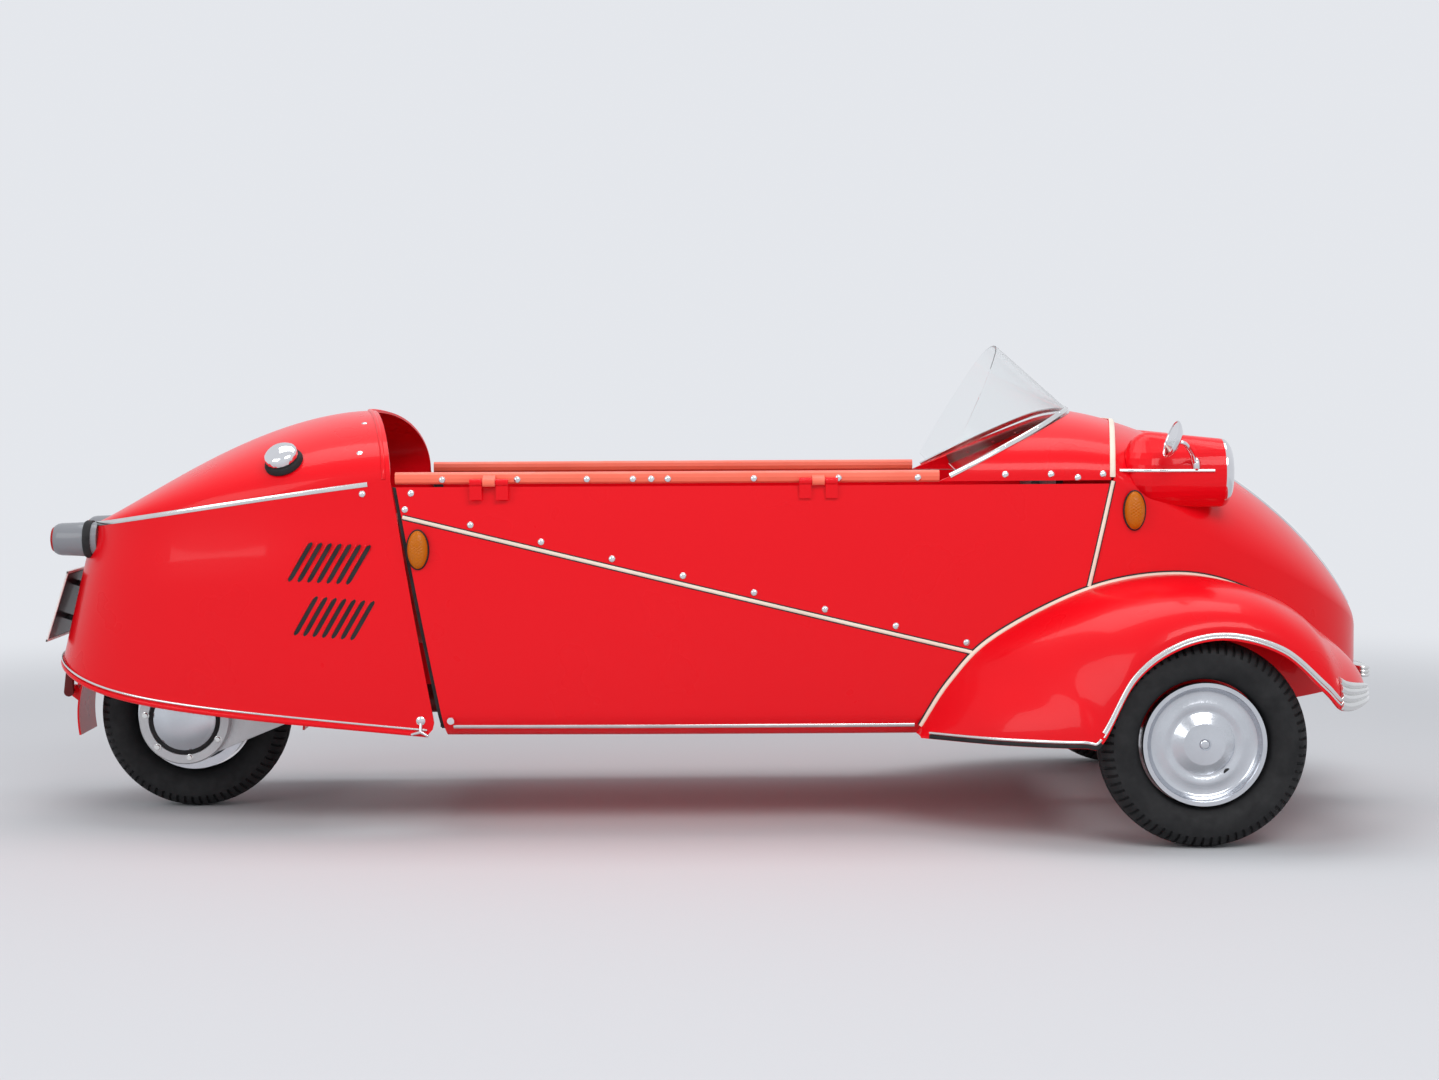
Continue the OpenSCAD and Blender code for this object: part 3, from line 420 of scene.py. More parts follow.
@dataclass(frozen=True)
class Paint(Finish):
    """Gloss enamel: a fine orange peel, a faint change of shade and a clear coat."""

    rough: float = 0.28
    coat: float = 0.9
    shade: float = 0.06

    def dress(self, n: Nodes) -> None:
        """Colour from broad noise, roughness from dust, bump from the sprayed coat's ripple."""
        dark = tuple(c * (1 - self.shade) for c in self.color)
        n.link(n.tint(n.spread(n.noise(1.6, 2), 0, 1, 0.0, 1.0), self.color, dark), "Base Color")
        n.link(n.spread(n.noise(7, 3), self.rough * 0.85, self.rough * 1.2, 0.0, 1.0), "Roughness")
        n.set(Coat_Weight=self.coat, Coat_Roughness=0.04, Specular_IOR_Level=0.12)
        n.bump(n.noise(260, 1), 0.03, 0.0004)


@dataclass(frozen=True)
class Metal(Finish):
    """Bare or plated metal, brushed along one direction or cast."""

    rough: float = 0.18
    grain: float = 300.0
    stretch: Triple = (0.05, 1, 1)
    depth: float = 0.0002
    strength: float = 0.15

    def dress(self, n: Nodes) -> None:
        """Fine stretched noise drives roughness, a little colour and the bump."""
        grain = n.noise(self.grain, 4, self.stretch)
        dull = tuple(c * 0.86 for c in self.color)
        n.link(n.tint(n.spread(n.noise(14, 4), 0, 1), self.color, dull), "Base Color")
        n.link(n.spread(grain, self.rough * 0.7, self.rough * 1.5), "Roughness")
        n.set(Metallic=1.0)
        n.bump(grain, self.strength, self.depth)


@dataclass(frozen=True)
class Grained(Finish):
    """Vinyl, leathercloth or moulded plastic: a cell grain with worn, duller patches."""

    rough: float = 0.45
    grain: float = 900.0
    depth: float = 0.0003
    strength: float = 0.35
    sheen: float = 0.0

    def dress(self, n: Nodes) -> None:
        """Voronoi cells give the grain, broad noise the wear."""
        cells = n.add("ShaderNodeTexVoronoi", Vector=n.coords, Scale=self.grain).outputs["Distance"]
        worn = tuple(min(1.0, c * 1.18 + 0.01) for c in self.color)
        n.link(n.tint(n.spread(n.noise(7, 5), 0, 1), self.color, worn), "Base Color")
        n.link(n.spread(n.noise(30, 4), self.rough * 0.85, self.rough * 1.2), "Roughness")
        n.set(Sheen_Weight=self.sheen)
        n.bump(cells, self.strength, self.depth)


@dataclass(frozen=True)
class Rubber(Finish):
    """Tyre rubber: matt, a little dusty on the tread."""

    rough: float = 0.72

    def dress(self, n: Nodes) -> None:
        """Dust noise lifts the black a little and the bump is fine."""
        dusty = tuple(c + 0.012 for c in self.color)
        n.link(n.tint(n.spread(n.noise(18, 6), 0, 1, 0.4, 0.75), self.color, dusty), "Base Color")
        n.link(n.spread(n.noise(60, 3), self.rough * 0.9, self.rough * 1.15), "Roughness")
        n.set(Specular_IOR_Level=0.3)
        n.bump(n.noise(700, 2), 0.2, 0.0003)


@dataclass(frozen=True)
class Clear(Finish):
    """Clear or tinted sheet, lens or lamp glass."""

    clear: float = 1.0
    rough: float = 0.02
    ior: float = 1.2
    ribs: float = 0.0

    def dress(self, n: Nodes) -> None:
        """Transmission with a faint smear, and ribs where the lens has them."""
        n.set(Base_Color=(*self.color, 1), Transmission_Weight=self.clear, IOR=self.ior)
        n.link(n.spread(n.noise(8, 5), self.rough, self.rough * 2.5 + 0.01), "Roughness")
        if self.ribs:
            wave = n.add("ShaderNodeTexWave", Vector=n.coords, Scale=self.ribs, bands_direction="Y")
            n.bump(wave.outputs["Fac"], 0.5, 0.0012)


RED = Paint("red enamel", "red_paint", (0.86, 0.003, 0.010), coat=0.22)
# dark red enamel; on the bulkheads it also serves as painted shade for the gap before the cowl
DEEP_RED_AND_SHADE = Paint("dark red enamel", "dark_red_steel", (0.13, 0.006, 0.006), rough=0.45, coat=0.3)
PLATE = Paint("blank plate enamel", "blank_plate", (0.80, 0.80, 0.78), rough=0.35, coat=0.4, shade=0.03)
CREAM = Grained("cream piping", "rail_vinyl", (0.80, 0.68, 0.56), rough=0.4, grain=1400.0, strength=0.15)
RAIL = Grained("orange red vinyl", "rail_vinyl", (0.92, 0.14, 0.075), rough=0.42, grain=700.0, sheen=0.15)
SEAT = Grained("dark red leathercloth", "seat_vinyl", (0.22, 0.012, 0.012), grain=620.0, sheen=0.2)
DASH = Grained("black crackle panel", "dark_panel", (0.018, 0.018, 0.02), rough=0.5, grain=1500.0)
# black rubber for real gaskets, also used as painted shade in the louvre slots, valve openings and cowl gap
BLACK_RUBBER_AND_SHADE = Grained("black rubber and shade", "dark_panel", (0.004, 0.004, 0.005), rough=0.75, grain=1800.0)
BLACK = Paint("black steel enamel", "black_steel", (0.022, 0.022, 0.025), rough=0.38, coat=0.35)
TRIM = Metal("polished aluminium", "bright_trim", (0.80, 0.80, 0.79), rough=0.16)
WHEEL = Metal("spun aluminium", "bright_wheel", (0.66, 0.68, 0.72), rough=0.17, stretch=(1, 0.05, 1),
              strength=0.08)
CHROME = Metal("chromium", "chrome", (0.80, 0.80, 0.82), rough=0.06, strength=0.02)
CAST = Metal("cast alloy", "cast_alloy", (0.60, 0.60, 0.61), rough=0.40, grain=520.0, stretch=(1, 1, 1),
             depth=0.0005, strength=0.35)
LAMP_GREY = Paint("grey lamp enamel", "lamp_housing", (0.24, 0.25, 0.27), rough=0.35, coat=0.5)
SCREEN = Clear("clear sheet", "clear_sheet", (0.97, 0.98, 0.98), ior=1.12)
LENS = Clear("fluted lamp glass", "headlamp_glass", (0.94, 0.96, 0.98), ior=1.25, ribs=26.0, rough=0.03)
AMBER = Clear("amber lens", "amber_lens", (0.72, 0.19, 0.004), clear=0.25, ior=1.3, rough=0.14)
RUBY = Clear("red lens", "amber_lens", (0.55, 0.01, 0.01), clear=0.3, ior=1.3, rough=0.15)
TYRE = Rubber("tyre rubber", "tyre", (0.012, 0.012, 0.013))


# ---------------------------------------------------------------- body form


def mix(a: Array | float, b: Array | float, t: Array | float) -> Array | float:
    """A value between two: a at nought, b at one."""
    return a + (b - a) * t


def fall(u: Array | float, n: Array | float) -> Array:
    """A superellipse's quarter: one at nought, nought at one."""
    return np.maximum(0.0, 1 - np.clip(u, 0, 1) ** n) ** (1 / n)


def cosp(a: Array, n: Array | float) -> Array:
    """A superellipse's cosine of an angle in degrees."""
    c = np.cos(np.radians(a))
    return np.sign(c) * np.abs(c) ** (2 / n)


def sinp(a: Array, n: Array | float) -> Array:
    """A superellipse's sine of an angle in degrees."""
    s = np.sin(np.radians(a))
    return np.sign(s) * np.abs(s) ** (2 / n)


@dataclass
class Form:
    """The body's form as functions of place, with the construction's own sizes."""

    half_w: float = 385.0
    side_mid: tuple[float, float] = (100.0, 440.0)
    side_reach: tuple[float, float] = (700.0, 255.0)
    side_draw_in: tuple[float, float] = (13.0, 18.0)
    waist_z: float = 700.0
    tub_bottom_z: float = 190.0
    tub_wall: float = 5.0
    skin: float = 5.0
    panel_wall: float = 12.0
    tub_corner: float = 55.0
    gap_top: float = 9.0
    gap_foot: float = 19.0
    panel_gap: float = 12.0
    touch: float = 0.3
    seam_gap: float = 0.9
    rear_x: float = -635.0
    rear_rake: float = 0.17
    seam_x: float = 798.0
    seam_rake: float = 0.24
    seam_top_rake: float = 0.5
    seam_lead: float = 50.0
    diagonal_z: tuple[float, float] = (632.0, 355.0)
    diagonal_front_x: float = 521.0
    nose_tip: tuple[float, float] = (1360.0, 330.0)
    nose_profile_x: float = 1376.0
    nose_top_z: float = 835.0
    nose_start_x: float = 700.0
    nose_bottom: tuple[float, float] = (215.0, 262.0)
    nose_plan_x: float = 600.0
    nose_exp: float = 1.6
    nose_front_exp: float = 1.75
    shoulder_rise: float = 40.0
    shoulder_exp: float = 0.75
    plan_exp: float = 2.1
    rib_spacing: float = 1.6
    arch_exp: float = 2.2
    tail_tip_x: float = -1296.0
    tail_lean: float = 0.25
    crease_drop: float = 96.0
    tail_bottom_z: float = 318.0
    tail_exp: float = 2.6
    cowl_corner: float = 32.0
    ridge_x: tuple[float, float] = (-712.0, -1262.0)
    ridge_z: tuple[float, float] = (838.0, 602.0)
    ridge_power: float = 1.8
    screen_x: tuple[float, float] = (452.0, 753.0)
    screen_rake: float = 155.0
    screen_peak_z: float = 970.0
    screen_wall: float = 4.0
    fender_y: float = 607.2
    fender_exp: float = 2.3
    fender_gap: float = 0.6
    fender_inner: tuple[tuple[float, float], ...] = (
        (405, 196), (470, 300), (560, 390), (746, 482), (919, 508), (1060, 478), (1190, 400), (1290, 300))
    fender_outer: tuple[tuple[float, float, float], ...] = (
        (412, -398, 190), (560, -520, 192), (700, -596, 196), (740, -602, 205), (800, -610, 320),
        (880, -610, 382), (975, -610, 402), (1080, -610, 372), (1160, -604, 300), (1205, -570, 262),
        (1275, -450, 262), (1320, -250, 262))

    def side_y(self, x: Array, z: Array) -> Array:
        """Half width of the tub: widest at its middle, less by the squares of the distances from there."""
        ends = self.side_draw_in[0] * ((x - self.side_mid[0]) / self.side_reach[0]) ** 2
        edges = self.side_draw_in[1] * ((z - self.side_mid[1]) / self.side_reach[1]) ** 2
        return self.half_w - ends - edges

    def rear_joint(self, z: Array) -> Array:
        """The joint behind the cockpit: a raked line."""
        return self.rear_x + self.rear_rake * (self.waist_z - z)

    def cockpit_end(self, z: Array) -> Array:
        """The tub's rear edge: the joint plus a gap that narrows upwards."""
        t = (z - self.tub_bottom_z) / (self.waist_z - self.tub_bottom_z)
        return self.rear_joint(z) + mix(self.gap_foot, self.gap_top, t)

    def nose_seam(self, z: Array) -> Array:
        """The joint before the cockpit: one rake below the waist and another over it."""
        rake = np.where(np.asarray(z) < self.waist_z, self.seam_rake, self.seam_top_rake)
        return self.seam_x + rake * (z - self.waist_z)

    def diagonal(self, x: Array) -> Array:
        """The slanting joint: a straight line from the rear joint down to the fender."""
        z0, z1 = self.diagonal_z
        x0 = self.rear_joint(z0)
        return z0 + (z1 - z0) * (x - x0) / (self.diagonal_front_x - x0)

    def fender_seam(self, x: Array) -> Array:
        """The fender's seam as a height over x."""
        path = smooth_path(self.fender_inner, 161)
        return np.interp(x, path[:, 0], path[:, 1])

    def tub_top(self, x: Array) -> Array:
        """The tub's upper edge: the diagonal, then the fender's seam."""
        return np.maximum(self.diagonal(x), np.where(x < self.diagonal_front_x, 0, self.fender_seam(x)))

    def nose_plan(self, x: Array) -> Array:
        """The nose's half width in plan, as a share: a superellipse."""
        return fall((x - self.nose_plan_x) / (self.nose_tip[0] - self.nose_plan_x), self.plan_exp)

    def nose_profile(self, x: Array) -> Array:
        """The nose's ridge height: a superellipse from the start to the tip."""
        z1, reach = self.nose_tip[1], self.nose_profile_x - self.nose_start_x
        return z1 + (self.nose_top_z - z1) * fall((x - self.nose_start_x) / reach, self.nose_exp)

    def nose_rib(self, s: Array, c: Array) -> Array:
        """A place on the nose's right half.

        Below the shoulder (c under nought) a rib keeps the seam's rake and the side's form;
        above it the rib is a superellipse from the shoulder to the ridge.

        Args:
            s: From nought at the seam to one at the front.
            c: From minus one at the lower edge by nought at the shoulder to one at the ridge.

        Returns:
            The points.
        """
        ease = 1 - (1 - s) ** self.rib_spacing
        xs = mix(self.seam_x, self.nose_tip[0] - 1.5, ease)
        zw = mix(self.waist_z, self.nose_tip[1] + self.shoulder_rise, s ** self.shoulder_exp)
        zb = mix(self.nose_bottom[0], self.nose_bottom[1], s)
        taper = self.nose_plan(xs) / self.nose_plan(self.seam_x)
        n = mix(self.arch_exp, self.nose_front_exp, np.minimum(1, 3 * s))
        xr = mix(self.seam_x + self.seam_lead, self.nose_tip[0] - 3, ease)
        z_low = mix(zw, zb, np.maximum(0, -c))
        x_low = xs + self.seam_rake * (1 - s) * (z_low - self.waist_z)
        y_low = self.side_y(self.seam_x, z_low) * taper
        xw = xs + self.seam_rake * (1 - s) * (zw - self.waist_z)
        a = 90 * np.maximum(0, c)
        x_up = mix(xw, xr, 1 - cosp(a, n))
        y_up = self.side_y(self.seam_x, zw) * taper * cosp(a, n)
        z_up = zw + (self.nose_profile(xr) - zw) * sinp(a, n)
        low = c < 0
        return np.stack([np.where(low, x_low, x_up), -np.where(low, y_low, y_up),
                         np.where(low, z_low, z_up)], -1)

    def nose_y(self, x: Array, z: Array) -> Array:
        """Half width of the nose at a place on its side, its rib found by repeated substitution."""
        s = np.full(np.broadcast(x, z).shape, 0.3)
        for _ in range(12):
            reach = np.maximum(0, x - self.seam_rake * (1 - s) * (z - self.waist_z) - self.seam_x)
            s = 1 - np.maximum(0, 1 - reach / (self.nose_tip[0] - self.seam_x)) ** (1 / self.rib_spacing)
        xs = mix(self.seam_x, self.nose_tip[0] - 1.5, 1 - (1 - s) ** self.rib_spacing)
        zw = mix(self.waist_z, self.nose_tip[1] + self.shoulder_rise, s ** self.shoulder_exp)
        taper = self.nose_plan(xs) / self.nose_plan(self.seam_x)
        n = mix(self.arch_exp, self.nose_front_exp, np.minimum(1, 3 * s))
        crown = fall((z - zw) / np.maximum(1, self.nose_profile(x) - zw), n)
        return taper * np.where(z < zw, self.side_y(self.seam_x, z), self.side_y(self.seam_x, zw) * crown)

    def body_y(self, x: Array, z: Array) -> Array:
        """Half width of the body ahead of the rear joint."""
        return np.where(x < self.nose_seam(z), self.side_y(x, z), self.nose_y(x, z))

    def cowl_rib(self, s: Array, c: Array) -> Array:
        """A place on the rear cowl's right half, laid out as the nose is.

        Args:
            s: From nought at the joint to one at the tail.
            c: From minus one at the lower edge by nought at the crease to one at the ridge.

        Returns:
            The points.
        """
        a = s * 88.5
        u, w = sinp(a, self.tail_exp), cosp(a, self.tail_exp)
        zw = self.waist_z - self.crease_drop * u ** 1.1
        yw = self.side_y(self.rear_x, self.waist_z) * w
        xw = mix(self.rear_x, self.tail_tip_x, u)
        zb = self.tub_bottom_z + 2 + (self.tail_bottom_z - self.tub_bottom_z) * (0.62 * u + 0.38 * u ** 7)
        xr = mix(self.ridge_x[0], self.ridge_x[1], u)
        t = 1 - (1 + np.minimum(0, c)) ** 1.6
        z = mix(zw, zb, t)
        corner = self.cowl_corner * (1 - fall((zb + self.cowl_corner - z) / self.cowl_corner, 2))
        x_low = mix(self.rear_joint(z) - corner, self.tail_tip_x - self.tail_lean * (zw - z), u)
        y_low = mix(yw, self.side_y(self.rear_x, z) * w, np.minimum(1, t * 3))
        b = 90 * np.maximum(0, c)
        drop = np.maximum(0, (self.ridge_x[0] - xr) / (self.ridge_x[0] - self.ridge_x[1])) ** self.ridge_power
        zr = self.ridge_z[0] - (self.ridge_z[0] - self.ridge_z[1]) * drop
        low = c < 0
        return np.stack([np.where(low, x_low, mix(xw, xr, 1 - cosp(b, 2))),
                         -np.where(low, y_low, yw * cosp(b, 2)),
                         np.where(low, z, zw + (zr - zw) * sinp(b, 2))], -1)

    def cowl_y(self, x: Array, z: Array) -> Array:
        """Half width of the cowl's side at a place: its rib found by repeated substitution."""
        u = np.full(np.broadcast(x, z).shape, 0.3)
        x0 = self.rear_joint(z)
        for _ in range(12):
            x1 = self.tail_tip_x - self.tail_lean * (self.waist_z - self.crease_drop * u ** 1.1 - z)
            u = np.clip((x0 - x) / (x0 - x1), 0, 1)
        return self.side_y(self.rear_x, z) * fall(u, self.tail_exp)

    def fender_point(self, t: Array, c: Array) -> Array:
        """A place on the right fender: t along it, c from its seam on the body to its outer edge.

        The section is a superellipse between the two edges' curves.
        """
        shape = np.broadcast(t, c).shape
        tt = np.broadcast_to(t, shape).ravel()
        fine = np.linspace(0, 1, 1201)
        inner, outer = smooth_path(self.fender_inner, len(fine)), smooth_path(self.fender_outer, len(fine))
        ix, iz = (np.interp(tt, fine, inner[:, k]).reshape(shape) for k in (0, 1))
        ox, oy, oz = (np.interp(tt, fine, outer[:, k]).reshape(shape) for k in (0, 1, 2))
        iy = -self.body_y(ix, iz) - self.fender_gap
        a = 90 * np.broadcast_to(c, shape)
        return np.stack([mix(ix, ox, sinp(a, self.fender_exp)),
                         np.maximum(-self.fender_y, mix(iy, oy, sinp(a, self.fender_exp))),
                         mix(oz, iz, cosp(a, self.fender_exp))], -1)

    def off_body(self, p: Array) -> Array:
        """The fender's points held off the body's side."""
        q = p.copy()
        q[..., 1] = np.minimum(p[..., 1], -self.body_y(p[..., 0], p[..., 2]) - self.fender_gap)
        return q

    def scuttle_point(self, v: Array, a: Array) -> Array:
        """A place on the scuttle: v from its rear edge to the nose's seam, a round its arch in degrees."""
        top = sinp(a, self.arch_exp)
        rear = mix(self.screen_x[0], self.screen_x[1], top)
        front = self.seam_x - self.panel_gap / 2 + self.seam_lead * (1 - np.abs(cosp(a, self.arch_exp)))
        x = mix(rear, front, v)
        z0 = self.waist_z - 4
        return np.stack([x, -self.side_y(x, self.waist_z) * cosp(a, self.arch_exp),
                         z0 + (self.nose_profile(x) - z0) * top], -1)

    def screen_point(self, v: Array, a: Array) -> Array:
        """A place on the windscreen: v from the scuttle's edge to the free edge, a round the arch."""
        s = sinp(a, self.arch_exp)
        p = self.scuttle_point(0.0 * a, a)
        return np.stack([p[..., 0] - self.screen_rake * s * v, p[..., 1] * (1 - 0.1 * v * s),
                         p[..., 2] + self.touch + (self.screen_peak_z - self.nose_top_z) * s * v + 3 * v], -1)

    def on_side(self, half_width: Callable[[Array, Array], Array], x: Array, z: Array) -> tuple[Array, Array]:
        """Places on the right side and their outward normals.

        Args:
            half_width: Half width as a function of x and z.
            x: Places along the car.
            z: Their heights.

        Returns:
            The points and the normals, from the half width's slopes.
        """
        x, z = np.broadcast_arrays(np.asarray(x, dtype=float), np.asarray(z, dtype=float))
        e = 1.0
        y = half_width(x, z)
        gx = (half_width(x + e, z) - half_width(x - e, z)) / (2 * e)
        gz = (half_width(x, z + e) - half_width(x, z - e)) / (2 * e)
        return np.stack([x, -y, z], -1), unit(np.stack([-gx, -np.ones_like(gx), -gz], -1))


FORM = Form()


def both_halves(right: Array) -> Array:
    """A grid's right half and its mirror as one grid across the car, the middle column once."""
    left = right[:, -2::-1] * np.array([1.0, -1.0, 1.0])
    return np.concatenate([right, left], axis=1)


# ---------------------------------------------------------------- sub-assemblies


@dataclass
class Panels:
    """The painted panels as smooth sheets, each in its CAD node's place."""

    form: Form = field(default_factory=lambda: FORM)
    rows: int = 72
    columns: int = 40
    below_rail: dict[Side, float] = field(default_factory=lambda: {Side.LEFT: 4.6, Side.RIGHT: 11.0})

    def side_edge(self, t: Array, side: Side, top: bool) -> Array:
        """The height of the joint between tub and side panel, settled by repeated substitution."""
        f = self.form
        z = np.full_like(t, 450.0)
        drop = {(Side.RIGHT, True): f.touch, (Side.RIGHT, False): -f.touch,
                (Side.LEFT, True): f.panel_gap / 2, (Side.LEFT, False): -f.panel_gap / 2}[(side, top)]
        for _ in range(8):
            z = f.tub_top(self.along(t, z, side, top)) - drop
        return z

    def along(self, t: Array, z: Array, side: Side, tub: bool) -> Array:
        """A place between the rear joint and the nose's seam: t from nought to one."""
        f = self.form
        gap = f.panel_gap / 2 if side is Side.LEFT and not tub else f.seam_gap
        return mix(f.cockpit_end(z), f.nose_seam(z) - gap, t)

    def tub_half(self, t: Array, side: Side) -> Array:
        """One half of the tub's section rows: the side, then the rounded lower corner."""
        f = self.form
        k = np.linspace(0, 1, 14)
        z = mix(self.side_edge(t, side, True)[:, None], f.tub_bottom_z + f.tub_corner, k[None])
        x = self.along(t[:, None], z, side, True)
        wall = np.stack([x, f.side_y(x, z), z], -1)
        a = np.linspace(0, 90, 9)[1:]
        zc = f.tub_bottom_z + f.tub_corner * (1 - np.sin(np.radians(a)))
        zc = np.broadcast_to(zc, (len(t), len(a)))
        xc = self.along(t[:, None], zc, side, True)
        yc = f.side_y(xc, f.tub_bottom_z + f.tub_corner) - f.tub_corner * (1 - np.cos(np.radians(a)))
        return np.concatenate([wall, np.stack([xc, yc, zc], -1)], axis=1) * np.array([1, side.value, 1])

    def tub(self) -> Shape:
        """The tub: right half, floor and left half in one sheet."""
        t = np.linspace(1, 0, self.rows)
        grid = np.concatenate([self.tub_half(t, Side.RIGHT), self.tub_half(t, Side.LEFT)[:, ::-1]], axis=1)
        return sheet(grid, self.form.tub_wall)

    def side_panel(self, side: Side) -> Shape:
        """A side panel from the diagonal up to the rail."""
        f = self.form
        t = np.linspace(0, 1, self.rows)
        top = f.waist_z - self.below_rail[side]
        z = mix(self.side_edge(t, side, False)[:, None], top, np.linspace(0, 1, 12)[None])
        x = self.along(t[:, None], z, side, False)
        grid = np.stack([x, side.value * f.side_y(x, z), z], -1)
        return sheet(grid if side is Side.RIGHT else grid[::-1], f.panel_wall)

    def nose(self) -> Shape:
        """The nose: ribs from the seam to the front, both halves in one sheet."""
        s = np.linspace(0, 1, self.rows)[:, None]
        c = np.concatenate([np.linspace(-1, 0, 12)[:-1], np.linspace(0, 1, self.columns)])[None]
        return sheet(both_halves(self.form.nose_rib(s + 0 * c, c + 0 * s)), self.form.skin, True)

    def cowl(self) -> Shape:
        """The rear cowl: ribs from the joint to the tail, both halves in one sheet."""
        s = np.linspace(0, 1, self.rows)[:, None]
        c = np.concatenate([np.linspace(-1, 0, 20)[:-1], np.linspace(0, 1, self.columns)])[None]
        return sheet(both_halves(self.form.cowl_rib(s + 0 * c, c + 0 * s))[:, ::-1], self.form.skin, True)

    def fender(self) -> Shape:
        """The right front fender."""
        f = self.form
        t = np.linspace(1, 0, 120)[:, None]
        c = np.linspace(0, 1, 28)[None]
        grid = f.fender_point(t, c)
        return walled(f.off_body(grid), f.off_body(grid - f.skin * grid_normals(grid)))

    def scuttle(self) -> Shape:
        """The scuttle: an arch between the windscreen and the nose's seam."""
        v = np.linspace(0, 1, 16)[:, None]
        a = np.linspace(0, 180, 97)[None]
        return sheet(self.form.scuttle_point(v + 0 * a, a + 0 * v), self.form.panel_wall)

    def screen(self) -> Shape:
        """The windscreen: a thin sheet that leans back from the scuttle's edge."""
        v = np.linspace(1, 0, 12)[:, None]
        a = np.linspace(180 / 32, 180 * 31 / 32, 91)[None]
        return sheet(self.form.screen_point(v + 0 * a, a + 0 * v), self.form.screen_wall)

    def build(self) -> None:
        """Makes every panel in place of its node."""
        piece("tub_panel", self.tub(), RED, "body_shell", replaces=["tub"])
        for side, body in ((Side.RIGHT, "body_shell"), (Side.LEFT, "cockpit_frame")):
            name = side.name.lower()
            piece(f"{name}_side_skin", self.side_panel(side), RED, body, replaces=[f"{name}_side_panel"])
        piece("nose_skin", self.nose(), RED, "body_shell", replaces=["nose_shell"])
        fender = self.fender()
        piece("right_fender_skin", fender, RED, "body_shell", replaces=["right_front_fender"])
        piece("left_fender_skin", fender.mirrored(), RED, "body_shell", replaces=["left_front_fender"])
        piece("scuttle_skin", self.scuttle(), RED, "cockpit_frame", replaces=["scuttle"])
        piece("screen_sheet", self.screen(), SCREEN, "cockpit_frame", replaces=["windscreen"], sharp=80)
        piece("cowl_skin", self.cowl(), RED, "tail_cowl", replaces=["rear_cowl"])


def cast_on(nodes: Sequence[str], x: Array, z: Array) -> tuple[Array, Array]:
    """Places on the right side of construction nodes, found by rays that run inward from outside.

    Args:
        nodes: The nodes to meet; the outermost hit counts.
        x: Places along the car in millimetres.
        z: Their heights.

    Returns:
        The points in millimetres and the faces' normals there.
    """
    trees = []
    for name in nodes:
        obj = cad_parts[name]
        corners = [obj.matrix_world @ v.co for v in obj.data.vertices]
        trees.append(BVHTree.FromPolygons(corners, [tuple(p.vertices) for p in obj.data.polygons]))
    points, normals = [], []
    for px, pz in zip(x, z):
        hits = [tree.ray_cast(Vector((px * MM, -1.0, pz * MM)), Vector((0, 1, 0))) for tree in trees]
        place, normal, _, _ = min((h for h in hits if h[0]), key=lambda h: h[0].y)
        points.append(tuple(place))
        normals.append(tuple(normal))
    return np.array(points) / MM, unit(np.array(normals))


